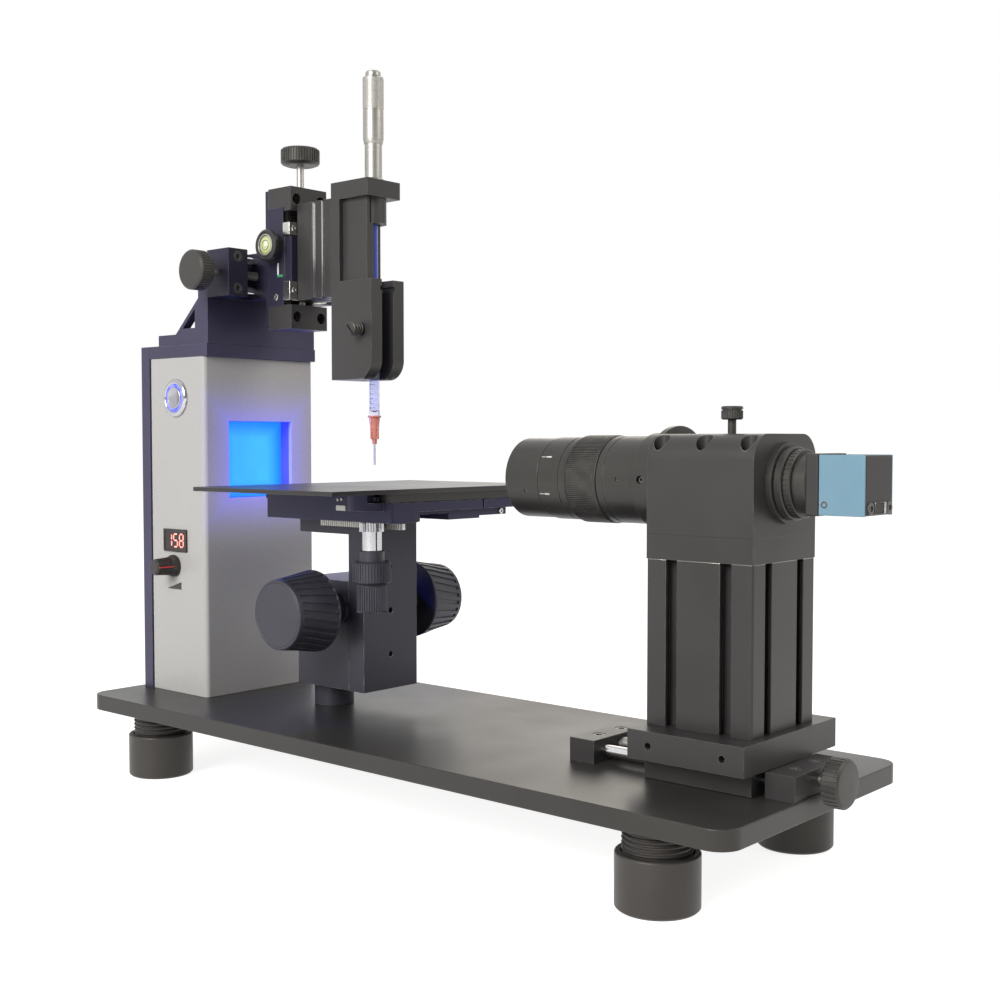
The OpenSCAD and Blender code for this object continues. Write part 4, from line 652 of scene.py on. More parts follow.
display_low, _, display_middle, _ = measured("display_module")
figure_w, figure_h = 4.1, 8.4
figure_pitch = 6.4
bar_t = 0.95
glass = Vector((display_middle.x, display_low.y + 0.5 * mm, display_middle.z))
segments_of = {1: "bc", 5: "afgcd", 8: "abcdefg"}
bar_places = {
    "a": (0, 1, True), "g": (0, 0, True), "d": (0, -1, True),
    "b": (1, 0.5, False), "c": (1, -0.5, False), "f": (-1, 0.5, False), "e": (-1, -0.5, False)}
figure_bars = []
for column, figure in enumerate((1, 5, 8)):
    for letter in segments_of[figure]:
        side, level, flat = bar_places[letter]
        x = (column - 1) * figure_pitch + 0.5 + side * figure_w / 2
        z = level * figure_h / 2
        half_l = (figure_w if flat else figure_h / 2) / 2 - 0.45
        half_x, half_z = (half_l, bar_t / 2) if flat else (bar_t / 2, half_l)
        bar = stock(f"figure_{column}_{letter}", glass, (x - half_x, -0.15, z - half_z),
                    (x + half_x, 0.1, z + half_z))
        pick(bar, "EDGE", lambda a, b: abs((a - b).y) > 0.1 * mm)
        bpy.ops.mesh.bevel(offset=0.4 * bar_t * mm, segments=1, affect="EDGES")
        put_down()
        figure_bars.append(bar)
segment_red = mottled("lit figures", 900, (1.0, 0.16, 0.13), (1.0, 0.42, 0.36), Roughness=0.4,
                      Emission_Strength=1.5)
sits_on(joined(figure_bars, "display_figures"), segment_red, "display_module")

# Dimmer knob
# A small moulded knob with a fluted grip, a wider skirt and a red pointer line, over a printed
# wedge that widens towards brighter.
moulded = black_metal("moulded black", (0.024, 0.023, 0.024), (0.12, 0.12, 0.12), 0.4, wear=0.2,
                      grain=1800, clouds=60, gloss=0.5)


def fluted(piece, start, axis, from_to, count, depth, lean=0):
    """Cuts flutes into a rim: every other strip of faces between two distances sinks in."""
    start, axis = Vector(start), Vector(axis).normalized()
    across = axis.orthogonal().normalized()
    up = axis.cross(across)

    def on_flute(face):
        out = face.center - start
        along = out.dot(axis) / mm
        if not from_to[0] < along < from_to[1] or abs(face.normal.dot(axis)) > 0.6:
            return False
        turn = math.atan2(out.dot(up), out.dot(across)) - lean * (along - from_to[0])
        return (turn * count / math.tau) % 1 < 0.5

    pick(piece, "FACE", on_flute)
    bpy.ops.mesh.extrude_region_shrink_fatten(TRANSFORM_OT_shrink_fatten={"value": -depth * mm})
    put_down()
    return piece


dimmer_middle = measured("dimmer_knob")[2]
dimmer_foot = Vector((dimmer_middle.x, shell_low.y - 0.3 * mm, dimmer_middle.z))
dimmer = turned("dimmer_grip", dimmer_foot, (0, -1, 0), [
    (-12.3, 3), (0, 3), (0, 7.3), (1.6, 7.3), (3.6, 6.3), (4, 6), (4.3, 5.9), (14.4, 5.4), (15.4, 5),
    (15.4, 4.4), (16, 4.1)], 72)
fluted(dimmer, dimmer_foot, (0, -1, 0), (4.5, 14), 18, 0.35)
stands_for(eased(dimmer, 0.12), moulded, "dimmer_knob")
pointer_red = mottled("red line", 800, (0.5, 0.03, 0.03), (0.8, 0.07, 0.06), Roughness=0.5)
pointer = stock("dimmer_pointer", dimmer_foot, (4.2, -15.3, -0.45), (6.05, -4.2, 0.45))
pick(pointer, "FACE", lambda face: face.normal.y < -0.9)
bpy.ops.transform.translate(value=(-0.55 * mm, 0, 0))
put_down()
sits_on(eased(pointer, 0.15), pointer_red, "dimmer_knob")
wedge_low = Vector((dimmer_middle.x - 7 * mm, shell_low.y - 0.12 * mm, dimmer_middle.z - 15.5 * mm))
wedge = stock("dimmer_wedge", wedge_low, (0, 0, 0), (14.5, 0.12, 5))
pick(wedge, "FACE", lambda face: face.normal.x < -0.9)
bpy.ops.transform.resize(value=(1, 1, 0.08), center_override=wedge_low)
put_down()
sits_on(wedge, moulded, "tower_shell")

# Cross slide and height slide
# Two small screw slides: end blocks, hard chromed rods, a lead screw with a fluted black knob, and
# a carriage. The upright one has bright clamp blocks and strips, and a side plate with two marks.
slide_violet = black_metal("slide violet", (0.019, 0.018, 0.034), (0.3, 0.28, 0.34), 0.4, gloss=0.32,
                           tint=(0.88, 0.86, 1))
slide_black = black_metal("slide black", (0.03, 0.029, 0.03), (0.4, 0.38, 0.36), 0.36, wear=0.4)
for node, coat in (("cross_slide_frame", slide_violet), ("z_slide_frame", slide_black),
                   ("cross_carriage", slide_violet), ("z_carriage", slide_black)):
    machined(node, coat, 0.3)
dressed("slide_rods", bright_metal("hard chrome", (0.78, 0.78, 0.78), 0.12))
ground = bright_metal("ground steel", (0.7, 0.69, 0.66), 0.22, lines=(300, 300, 4000))
clamps = machined("carriage_clamps", ground, 0)
pick(clamps, "FACE", lambda face: face.normal.y < -0.9 and face.center.y < -13 * mm)
bpy.ops.transform.translate(value=(0, -1.6 * mm, 0))
put_down()
eased(clamps, 0.25)
carriage_low, _, _, carriage_size = measured("z_carriage")
carriage_l = 49.3
slide_face = Vector((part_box("z_slide_frame")[1].x, 0, carriage_low.z))
filler = stock("carriage_filler", slide_face, (-6.6, -14.5, 12), (-0.4, -7.8, carriage_l - 8))
sits_on(eased(filler, 0.2), slide_violet, "z_carriage")
for number, out in enumerate((15.4, 23.8)):
    strip = stock(f"bright_strip_{number + 1}", slide_face, (out, -10.25, 0.8),
                  (out + 0.9, -9.9, carriage_size.z - 0.8))
    sits_on(strip, ground, "z_carriage")


def socket_screw(name, place, axis, radius, height, material, node):
    """A cap screw with a six sided socket, its head standing up from its place."""
    screw = turned(name, place, axis, [
        (-1.5, 0.5 * radius), (-0.02, 0.5 * radius), (-0.02, radius),
        (height - 0.15 * radius, radius), (height, 0.85 * radius)], 32)
    key = turned(name + "_key", place, axis, [(0.35 * height, 0.5 * radius), (2 * height, 0.5 * radius)], 6)
    cut_away(screw, key)
    return sits_on(smoothed(screw, 35), material, node)


for name, height in (("low", 6.3), ("top", carriage_l - 4)):
    socket_screw("clamp_screw_" + name, slide_face + Vector((0, -12.4, height)) * mm, (1, 0, 0), 2, 0.6,
                 ground, "z_carriage")
side_plate = stock("z_slide_side_plate", slide_face, (-21.8, -15.5, -3), (-7, -14.95, carriage_l + 10))
sits_on(eased(side_plate, 0.15), slide_violet, "z_slide_frame")
socket_screw("side_plate_screw", slide_face + Vector((-14.6, -15.5, 2.6)) * mm, (0, -1, 0), 2.2, 0.6,
             ground, "z_slide_frame")
white_paint = mottled("engraved white", 700, (0.6, 0.58, 0.55), (0.85, 0.83, 0.8), Roughness=0.6)
green_paint = mottled("green mark", 700, (0.02, 0.2, 0.1), (0.05, 0.34, 0.17), Roughness=0.6)
mark_foot = slide_face + Vector((-13, -15.58, 15.2)) * mm
for name, coat, wide, low, high in (("upright", white_paint, 1.5, 1.5, 9.1),
                                    ("foot", green_paint, 5.6, 0, 1.5)):
    mark = stock("z_slide_mark_" + name, mark_foot, (0, 0, low), (wide, 0.15, high))
    sits_on(mark, coat, "z_slide_frame")
screw_steel = bright_metal("screw steel", (0.5, 0.485, 0.455), 0.32, grain=500)
knob_black = black_metal("knob black", (0.033, 0.032, 0.031), (0.3, 0.29, 0.27), 0.42, wear=0.3,
                         grain=3000, clouds=40, gloss=0.45)
thread_r, core_r = 2.9, 2.4
fine_pitch = 1.25
thread_l, lead_in, lead_out = 58, 3, 38
screw_steps = [(-lead_in, core_r), (0, core_r)]
for turn in range(int(thread_l / fine_pitch)):
    screw_steps += [((turn + share) * fine_pitch, wide) for share, wide in (
        (0.1, core_r), (0.35, thread_r), (0.65, thread_r), (0.9, core_r))]
screw_steps += [(thread_l, core_r), (thread_l + lead_out, core_r)]
flute_count = 44
for name, axis in (("cross", (0, -1, 0)), ("z", (0, 0, 1))):
    _, _, knob_middle, knob_size = measured(name + "_knob")
    along = Vector(axis)
    radius, thick = knob_size.x / 2, abs(knob_size.dot(along))
    start = knob_middle - along * thick / 2 * mm
    knob = turned(name + "_fluted_knob", start, axis, [
        (0, radius - 3.2), (0.9, radius - 0.8), (2, radius), (thick - 1.2, radius),
        (thick - 0.5, radius - 0.6), (thick, radius - 1.2), (thick, 3), (thick - 0.15, 2.6)],
        4 * flute_count)
    fluted(knob, start, axis, (2, thick - 1.2), flute_count, 0.55)
    stands_for(eased(knob, 0.1), knob_black, name + "_knob")
    screw_low, screw_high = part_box(name + "_screw")
    screw_far = screw_low if name == "z" else screw_high
    begin = knob_middle - along * (knob_middle - screw_far).dot(along)
    screw = turned(name + "_lead_screw", begin + along * lead_in * mm, axis, screw_steps, 32)
    stands_for(screw, screw_steel, name + "_screw")

# Bubble level
# A round vial of tinted spirit in a black ring, screwed to the side of the height slide.
_, level_high, level_middle, level_size = measured("bubble_level")
level_r, level_l = level_size.x / 2, level_size.y
level_start = (level_middle.x, level_high.y, level_middle.z)
neck_r = 7.3
level = turned("level_ring", level_start, (0, -1, 0), [
    (0, neck_r), (level_l - 3.4, neck_r), (level_l - 3.4, level_r - 0.4), (level_l - 3, level_r),
    (level_l - 0.9, level_r), (level_l, level_r - 0.9), (level_l, level_r - 1.8),
    (level_l - 0.5, level_r - 2.2), (level_l - 0.5, 6.6), (level_l - 1.4, 6.3)])
stands_for(smoothed(level, 40), moulded, "bubble_level")
spirit, spirit_tree, spirit_inputs = finish("tinted spirit", Roughness=0.12, Coat_Weight=1.0,
                                            Coat_Roughness=0.04)
spirit_rim = graded(spirit_tree, from_centre(spirit_tree, level_middle), 3.5 * mm, 6.2 * mm)
spirit_tree.links.new(blended(spirit_tree, spirit_rim, (0.68, 0.72, 0.36), (0.3, 0.34, 0.13)),
                      spirit_inputs["Base Color"])
vial = turned("level_vial", level_start, (0, -1, 0), [
    (level_l - 2.4, 6.2), (level_l - 1.2, 6.2), (level_l - 0.8, 5.4), (level_l - 0.55, 3.6),
    (level_l - 0.5, 1.5)])
sits_on(smoothed(vial, 60), spirit, "bubble_level")


def opened(ring):
    """Takes the end discs out of a ring whose profile closes on itself."""
    pick(ring, "FACE", lambda face: len(face.vertices) > 4)
    bpy.ops.mesh.delete(type="FACE")
    put_down()
    tidy(ring)
    return ring


level_bezel = opened(turned("level_bezel", level_start, (0, -1, 0), [
    (level_l - 0.9, 6.3), (level_l - 0.9, 7), (level_l - 0.35, 7), (level_l - 0.2, 6.65),
    (level_l - 0.35, 6.3), (level_l - 0.9, 6.3)], 64))
sits_on(smoothed(level_bezel, 60), chrome, "bubble_level")
level_mark = turned("level_mark", level_start, (0, -1, 0), [
    (level_l - 0.7, 2.9), (level_l - 0.7, 3.3), (level_l - 0.42, 3.3), (level_l - 0.38, 2.9),
    (level_l - 0.7, 2.9)], 48)
sits_on(level_mark, moulded, "bubble_level")
bubble_pale = mottled("bubble", 300, (0.78, 0.84, 0.52), (0.9, 0.93, 0.72), Roughness=0.1, Coat_Weight=1.0)
bubble = turned("level_bubble", Vector(level_start) + Vector((0.6, 0, 0.5)) * mm, (0, -1, 0), [
    (level_l - 0.7, 2.3), (level_l - 0.4, 2.2), (level_l - 0.25, 1.5), (level_l - 0.2, 0.6)], 40)
sits_on(smoothed(bubble, 70), bubble_pale, "bubble_level")

# Syringe holder and its clamp screw
# A milled channel with its far wall cut open, which holds the micrometer at the top and pinches
# the syringe below with a turned, ribbed and slotted clamp screw.
holder_black = black_metal("holder black", (0.035, 0.034, 0.035), (0.36, 0.34, 0.32), 0.4, wear=0.4)
holder_low, holder_high, _, holder_size = measured("syringe_holder")
needle_middle = measured("needle")[2]
axis_x, axis_y = needle_middle.x, needle_middle.y
open_side = stock("open_side", (axis_x, 0, holder_low.z), (-5, 4.85, 60.5), (20, 12, holder_size.z - 10.5))
cut_away(open_side, turned("bush_room", (axis_x, axis_y, holder_high.z - 26 * mm), (0, 0, 1), [
    (-0.2, 8), (20, 8)], 64))
machined("syringe_holder", holder_black, 0.4, open_side)
pinch_low, pinch_high, pinch_middle, pinch_size = measured("syringe_clamp_screw")
pinch_r, pinch_l = pinch_size.x / 2, pinch_size.y
head_from = pinch_l - 9
pinch_steps = [(0, 1.9), (head_from, 1.9), (head_from, pinch_r - 0.9)]
for ring in range(4):
    at = head_from + 0.4 + 2.1 * ring
    pinch_steps += [(at, pinch_r - 0.8), (at + 0.5, pinch_r), (at + 1.3, pinch_r), (at + 1.8, pinch_r - 0.8)]
pinch = turned("slotted_clamp_screw", (pinch_middle.x, pinch_high.y, pinch_middle.z), (0, -1, 0),
               pinch_steps + [(pinch_l, pinch_r - 0.9)], 48)
slot_tool = stock("slot_tool", (pinch_middle.x, pinch_low.y, pinch_middle.z), (-6, -1, -0.6), (6, 1.6, 0.6))
pick(slot_tool, "FACE", lambda face: True)
turn_about((0, 1, 0), math.radians(50), pinch_middle)
put_down()
cut_away(pinch, slot_tool)
stands_for(eased(pinch, 0.08), knob_black, "syringe_clamp_screw")

# Micrometer
# A satin chromed micrometer head: a fixed sleeve, a thimble with a bevelled edge and a diamond
# knurl, and a small ratchet knob.
satin = bright_metal("satin chrome", (0.44, 0.43, 0.4), 0.36, 0.08, lines=(120, 120, 2600))
sleeve_low, _, _, sleeve_size = measured("micrometer_sleeve")
sleeve_r, sleeve_bore, sleeve_h = 5.3, 2.6, sleeve_size.z
seat = (holder_high.z - sleeve_low.z) / mm
sleeve = turned("micrometer_barrel", (axis_x, axis_y, sleeve_low.z), (0, 0, 1), [
    (0, sleeve_bore), (0, 4.75), (seat, 4.75), (seat, 6.2), (seat + 1.4, 6.2), (seat + 2, sleeve_r),
    (sleeve_h, sleeve_r), (sleeve_h, sleeve_bore)])
stands_for(eased(sleeve, 0.15), satin, "micrometer_sleeve")
thimble_low, _, _, thimble_size = measured("thimble")
thimble_r, thimble_h, grip, grip_top = 6.35, thimble_size.z, 20.6, 40.2
thimble = turned("micrometer_thimble", (axis_x, axis_y, thimble_low.z), (0, 0, 1), [
    (35.5, 5.36), (0, 5.36), (0, 5.6), (3.2, thimble_r), (grip - 0.5, thimble_r), (grip - 0.5, 6.1),
    (grip, 6.1), (grip, 6.3), (grip_top, 6.3), (grip_top + 0.3, 5.9), (grip_top + 0.3, 4),
    (grip_top + 0.8, 4), (grip_top + 0.8, 4.7), (thimble_h - 0.8, 4.7), (thimble_h, 3.9), (thimble_h, 1)])
stands_for(eased(thimble, 0.12), satin, "thimble")
knurl_rows, knurl_sides, knurl_h, knurl_r, knurl_depth = 28, 60, 19.1, 6.45, 0.24
knurl_foot = thimble_low.z + (grip + 0.25) * mm
knurl_rings = [(row * knurl_h / knurl_rows, knurl_r - knurl_depth) for row in range(knurl_rows + 1)]
knurl = opened(turned("thimble_knurl", (axis_x, axis_y, knurl_foot), (0, 0, 1), [
    (0, 5.9), *knurl_rings, (knurl_h, 5.9), (0, 5.9)], knurl_sides))


def on_diamond(point):
    """Whether a point of the knurl is the tip of a diamond."""
    row = round((point.z - knurl_foot) / mm * knurl_rows / knurl_h)
    across = Vector((point.x - axis_x, point.y - axis_y))
    step = round(math.atan2(across.y, across.x) / math.tau * knurl_sides)
    return 0 < row < knurl_rows and across.length > 6 * mm and (row + step) % 2 == 1


pick(knurl, "VERT", on_diamond)
bpy.ops.transform.shrink_fatten(value=knurl_depth * mm)
put_down()
sits_on(knurl, satin, "thimble")

# Syringe, hub and needle
# A clear one millilitre barrel with printed graduations, a blue plunger rod, and a dispensing
# needle in a salmon hub that pushes on to its nose.
clear = mottled("clear plastic", 150, (0.72, 0.74, 1.0), (0.86, 0.88, 1.0), Transmission_Weight=0.9,
                IOR=1.25)
clear_tree = clear.node_tree
clear_tree.links.new(graded(clear_tree, noise(clear_tree, placed(clear_tree), 500), 0.3, 0.7, 0.04, 0.12),
                     clear_tree.nodes["Principled BSDF"].inputs["Roughness"])
barrel_low, _, _, barrel_size = measured("syringe_barrel")
barrel_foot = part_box("needle_hub")[1].z
barrel_r, flange_r, bore_r, barrel_h = 3.2, 5.8, 2.56, barrel_size.z
nose_l = (barrel_foot - barrel_low.z) / mm
barrel = turned("clear_barrel", (axis_x, axis_y, barrel_low.z), (0, 0, 1), [
    (0, 0.75), (0, 1.9), (nose_l, 2), (nose_l, 2.8), (nose_l + 0.6, barrel_r), (barrel_h - 2, barrel_r),
    (barrel_h - 2, flange_r), (barrel_h, flange_r), (barrel_h, bore_r), (nose_l + 3, bore_r),
    (nose_l + 2, 0.75)], 64)
stands_for(eased(barrel, 0.12), clear, "syringe_barrel")
ink = mottled("printed ink", 900, (0.015, 0.015, 0.03), (0.05, 0.05, 0.08), Roughness=0.5)
graduation_pitch = 2.9
print_faces_camera = Vector((0.2, -1, 0)).normalized()
marks = []
for number in range(24):
    height = barrel_foot + (4.5 + number * graduation_pitch) * mm
    wide = 0.78 if number % 5 == 0 else 0.93
    mark = turned(f"graduation_{number}", (axis_x, axis_y, height), (0, 0, 1), [
        (0, barrel_r - 0.02), (0, barrel_r + 0.05), (0.28, barrel_r + 0.05), (0.28, barrel_r - 0.02)], 64)
    pick(mark, "FACE", lambda face: len(face.vertices) > 4 or Vector(
        (face.center.x - axis_x, face.center.y - axis_y, 0)).normalized().dot(print_faces_camera) < wide)
    bpy.ops.mesh.delete(type="FACE")
    put_down()
    marks.append(mark)
sits_on(joined(marks, "printed_graduations"), ink, "syringe_barrel")
rod_blue = mottled("blue plunger", 120, (0.03, 0.06, 0.5), (0.07, 0.14, 0.8), Roughness=0.22,
                   Coat_Weight=0.5)
plunger_low, _, _, plunger_size = measured("plunger_rod")
plunger = turned("ribbed_plunger", (axis_x, axis_y, plunger_low.z), (0, 0, 1), [
    (0, 1.2), (1.2, 2.45), (4, 2.45), (4.6, 2.1), (6, 2.45), (plunger_size.z, 2.45)], 48)
stands_for(eased(plunger, 0.1), rod_blue, "plunger_rod")
salmon = mottled("salmon hub", 200, (0.7, 0.2, 0.16), (0.86, 0.34, 0.28), Roughness=0.25,
                 Transmission_Weight=0.25)
hub_low, _, _, hub_size = measured("needle_hub")
hub_start = (axis_x, axis_y, hub_low.z)
hub_h = hub_size.z
hub = turned("needle_hub_cone", hub_start, (0, 0, 1), [
    (0, 0.8), (0, 1.4), (3.5, 1.6), (4.5, 2.2), (hub_h - 1.2, 3.4), (hub_h - 1.2, 4.1), (hub_h, 4.1),
    (hub_h, 2.02), (hub_h - 6, 2.02)], 64)
stands_for(eased(hub, 0.1), salmon, "needle_hub")
half_fin = 0.35
for number, (x, y) in enumerate(((1, 0), (0, 1), (-1, 0), (0, -1))):
    fin = stock(f"hub_fin_{number + 1}", hub_start,
                (x * 1.2 - abs(y) * half_fin, y * 1.2 - abs(x) * half_fin, 3),
                (x * 3.5 + abs(y) * half_fin, y * 3.5 + abs(x) * half_fin, hub_h - 1.2))
    sits_on(eased(fin, 0.15), salmon, "needle_hub")
dressed("needle", bright_metal("needle tube", (0.74, 0.72, 0.86), 0.15))

# Focus block and lift arm
# A milled block on a round post carries the focus shaft, and a screwed on arm slides up and down
# its front on a dovetail. Both are stoved with a satin black enamel.
enamel = black_metal("stoved enamel", (0.028, 0.027, 0.036), (0.46, 0.44, 0.43), 0.4, wear=0.75,
                     grain=2200, depth=0.03, clouds=20, gloss=0.42, tint=(0.92, 0.9, 1))
machined("focus_block", enamel, 0.35)
machined("lift_arm", enamel, 0.35)
dressed("racks", bright_metal("rack steel", (0.58, 0.57, 0.55), 0.25, lines=(2000, 200, 200)))
dressed("focus_shaft", screw_steel)

# Focus knobs
# Two moulded knobs on one shaft: a cone with broad slanted ribs, a flat face with a thin groove
# and a hub towards the block.
grippy = black_metal("moulded knob", (0.03, 0.029, 0.04), (0.16, 0.16, 0.17), 0.46, wear=0.25,
                     grain=1500, depth=0.035, clouds=40, gloss=0.5, tint=(0.95, 0.95, 1))
_, _, knobs_middle, knobs_size = measured("focus_knobs")
focus_r = knobs_size.x / 2
rib_count = 28
slant = math.radians(9) / 20
hub_from = 32.5 * mm
for number, side in enumerate((-1, 1)):
    start = (knobs_middle.x, side * hub_from, knobs_middle.z)
    knob = turned(f"focus_knob_{number + 1}", start, (0, side, 0), [
        (0, 4.05), (0, 8), (8.4, 8.4), (8.4, 18), (7.9, 20), (7.9, focus_r - 0.6), (8.5, focus_r),
        (9.4, focus_r), (15, 23.9), (23, 22.55), (31, 21.5), (33.6, 21.15), (36.2, 20.75), (36.8, 20.1),
        (36.8, 19.4), (36.5, 19.25), (36.5, 18.95), (36.8, 18.8), (36.75, 6)], 4 * rib_count, slant)
    fluted(knob, start, (0, side, 0), (9.4, 34.4), rib_count, 0.9, slant)
    stands_for(eased(knob, 0.25, 2, 32), grippy, "focus_knobs")

# Stage body and sample plate
# An enamelled body slides on the arm's head, and carries the broad anodised sample plate across
# it. A bare bright label and two small screws sit on the near edge, and one on the far bracket.
violet_enamel = black_metal("violet enamel", (0.022, 0.02, 0.052), (0.5, 0.48, 0.5), 0.42, wear=0.8,
                            grain=2200, depth=0.03, clouds=20, gloss=0.36, tint=(0.88, 0.86, 1))
machined("stage_body", violet_enamel, 0.35)
sample_black = black_metal("sample plate", (0.015, 0.0145, 0.018), (0.3, 0.28, 0.26), 0.32, wear=0.3,
                           gloss=0.5)
machined("sample_plate", sample_black, 0.25)
stage_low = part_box("stage_body")[0]
stage_face = Vector((stage_low.x, stage_low.y + 10.5 * mm, plate_high.z))
label = stock("stage_label", stage_face, (64.8, -0.3, 126.2), (73, 0.1, 129.4))
sits_on(eased(label, 0.1), satin, "stage_body")
for number, (along, up) in enumerate(((66.3, 132.6), (69.5, 133))):
    socket_screw(f"stage_screw_{number + 1}", stage_face + Vector((along, 0, up)) * mm, (0, -1, 0),
                 0.9, 0.5, screw_steel, "stage_body")
bracket_place = (stage_low.x + 107 * mm, 60 * mm, plate_high.z + 123.6 * mm)
socket_screw("bracket_screw", bracket_place, (1, 0, 0), 1.9, 0.8, ground, "stage_body")

# Coaxial stage knobs
# A bright pinion on a chromed tube, a wide fluted knob that moves the stage along the base, and a
# narrower one below it that moves the sample plate across.
dressed("stage_x_shaft", chrome)
x_low, _, x_middle, x_size = measured("stage_x_knob")
axle = (x_middle.x, x_middle.y, x_low.z)
wide_r, x_knob_h = x_size.x / 2, x_size.z
wide_l, collar, tube_r = 12.9, 7.3, 3.55
wide_knob = turned("wide_stage_knob", axle, (0, 0, 1), [
    (0, tube_r), (0, wide_r - 1.2), (0.9, wide_r - 0.2), (1.2, wide_r), (wide_l - 1.2, wide_r),
    (wide_l - 0.9, wide_r - 0.2), (wide_l, wide_r - 1.4), (wide_l, collar + 0.2), (wide_l + 0.2, collar),
    (x_knob_h - 0.5, collar), (x_knob_h, collar - 0.5), (x_knob_h, tube_r)], 160)
fluted(wide_knob, axle, (0, 0, 1), (1.2, wide_l - 1.2), 40, 0.55)
stands_for(eased(wide_knob, 0.1), grippy, "stage_x_knob")
lower_r, lower_l = 8.9, 16.4
lower_start = (axle[0], axle[1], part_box("stage_y_knob")[0].z)
lower_knob = turned("lower_stage_knob", lower_start, (0, 0, 1), [
    (0, 2.5), (0, lower_r - 1.2), (0.9, lower_r - 0.2), (1.2, lower_r), (lower_l - 1, lower_r),
    (lower_l - 0.6, lower_r - 0.2), (lower_l, lower_r - 1.2), (lower_l, 2)], 144)
fluted(lower_knob, lower_start, (0, 0, 1), (1.2, lower_l - 1), 36, 0.55)
sits_on(eased(lower_knob, 0.1), grippy, "stage_y_knob")
machined("stage_y_knob", grippy, 0)

# Camera rail and column
# Two end blocks hold hard chromed rods and a lead screw under a slide plate, with a boldly fluted
# knob at the outer end. A sawn off square column and the lens block stand on the plate.
for node in ("rail_end_blocks", "rail_carriage", "lens_block"):
    machined(node, anodised, 0.35)
post = machined("column", anodised, 0.35)
post.data.materials.append(bright_metal("sawn aluminium", (0.62, 0.6, 0.56), 0.35, grain=900))
post_low, post_high, _, post_size = measured("column")
pick(post, "FACE", lambda face: 0.3 < face.normal.z < 0.97 and face.center.z > post_high.z - 0.4 * mm)
post.active_material_index = 1
bpy.ops.object.material_slot_assign()
put_down()
# A thin dark strip round the lens block, 12 mm above its foot, is painted shade: it stands for the shadow
# line in the seam between the cap plate and the block
seam_shade_strip = stock("cap_seam_painted_shade", (post_low.x, 0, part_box("lens_block")[0].z), (0.1, -30.02, 12.1),
             (post_size.x + 0.02, 30.02, 12.4))
sits_on(seam_shade_strip, smoked, "lens_block")
rail_knob_low, _, rail_knob_middle, rail_knob_size = measured("rail_knob")
rail_r, rail_l = rail_knob_size.z / 2, rail_knob_size.x
rail_start = (rail_knob_low.x, 0, rail_knob_middle.z)
rail_knob = turned("rail_fluted_knob", rail_start, (1, 0, 0), [
    (0, 3.02), (0, rail_r - 1), (0.8, rail_r), (rail_l - 1.2, rail_r), (rail_l - 0.3, rail_r - 0.9),
    (rail_l, rail_r - 1.6), (rail_l, 3), (rail_l - 0.1, 2.7)], 120)
fluted(rail_knob, rail_start, (1, 0, 0), (0.8, rail_l - 1.2), 30, 0.7)
stands_for(eased(rail_knob, 0.15), knob_black, "rail_knob")
dressed("rail_screw", screw_steel)

# Zoom lens
# A black anodised zoom lens: a plain front, an index ring with engraved white lines, a finely
# ribbed zoom band, a stepped rear with a flange in the block, and coated glass at both ends.
lens_black = black_metal("lens black", (0.03, 0.029, 0.028), (0.28, 0.27, 0.25), 0.36, wear=0.25,
                         grain=3200, depth=0.012, clouds=24, gloss=0.42)
lens_low, _, _, lens_size = measured("lens_barrel")
zoom_low, _, zoom_middle, _ = measured("zoom_ring")
lens_z = zoom_middle.z
lens_start = (lens_low.x, 0, lens_z)
line_in = 0.35
front_r, rear_r, collar_r, disc_r, tail_r, bore = 21.7, 22.8, 24.4, 28, 19.6, 14
lens_l = lens_size.x
lens = turned("lens_tube", lens_start, (1, 0, 0), [
    (9, bore), (8, 18.05), (0.6, 19.2), (0, 19.8), (0, front_r - 0.6), (0.6, front_r), (22.5, front_r),
    (23, front_r - 0.5), (23, 18), (62.3, 18), (62.3, rear_r - 0.5), (62.8, rear_r), (66.7, rear_r),
    (66.8, rear_r - line_in), (67.4, rear_r - line_in), (67.5, rear_r), (84.8, rear_r),
    (85.3, rear_r - 0.5), (85.3, collar_r - 0.5), (85.8, collar_r), (95.8, collar_r),
    (96.3, collar_r - 0.5), (96.3, disc_r - 0.4), (96.7, disc_r), (99.8, disc_r), (99.8, tail_r),
    (lens_l, tail_r), (lens_l, 15.05), (lens_l - 4, 15.05), (lens_l - 4, bore), (61.2, bore)], 128)
pick(lens, "FACE", lambda face: len(face.vertices) > 4)
bpy.ops.mesh.bridge_edge_loops()
put_down()
eased(lens, 0.12, 2, 30)
for number, (along, turn, surface_r, radius, deep) in enumerate((
        (14, -18, front_r, 1.1, 1.4), (76, 2, rear_r, 1.2, 1.8), (91.4, 2, collar_r, 2.1, 4))):
    angle = math.radians(turn)
    out = Vector((0, -math.cos(angle), math.sin(angle)))
    place = Vector((lens_low.x + along * mm, 0, lens_z)) + out * surface_r * mm
    cut_away(lens, turned("drill", place, out, [(-deep, radius), (2, radius)], 24))
    socket_screw(f"lens_screw_{number + 1}", place - out * deep * mm, out, radius * 0.9, 0.6 * deep,
                 screw_black, "lens_barrel")
stands_for(lens, lens_black, "lens_barrel")
zoom_start = (zoom_low.x, 0, lens_z)
index_r, band_r = 22.2, 23.3
index_l, band_l = 18.6, 20.1
band_end = index_l + band_l
zoom = opened(turned("zoom_band", zoom_start, (1, 0, 0), [
    (0, 18.1), (0, index_r - 0.5), (0.5, index_r), (13.6, index_r), (13.7, index_r - line_in),
    (14.3, index_r - line_in), (14.4, index_r), (index_l, index_r), (index_l, band_r - 0.6),
    (index_l + 0.6, band_r - 0.3), (index_l + 0.9, band_r), (band_end - 0.9, band_r),
    (band_end - 0.6, band_r - 0.3), (band_end, band_r - 0.6), (band_end, 18.1), (0, 18.1)], 520))
fluted(zoom, zoom_start, (1, 0, 0), (index_l + 0.9, band_end - 0.9), 130, 0.45)
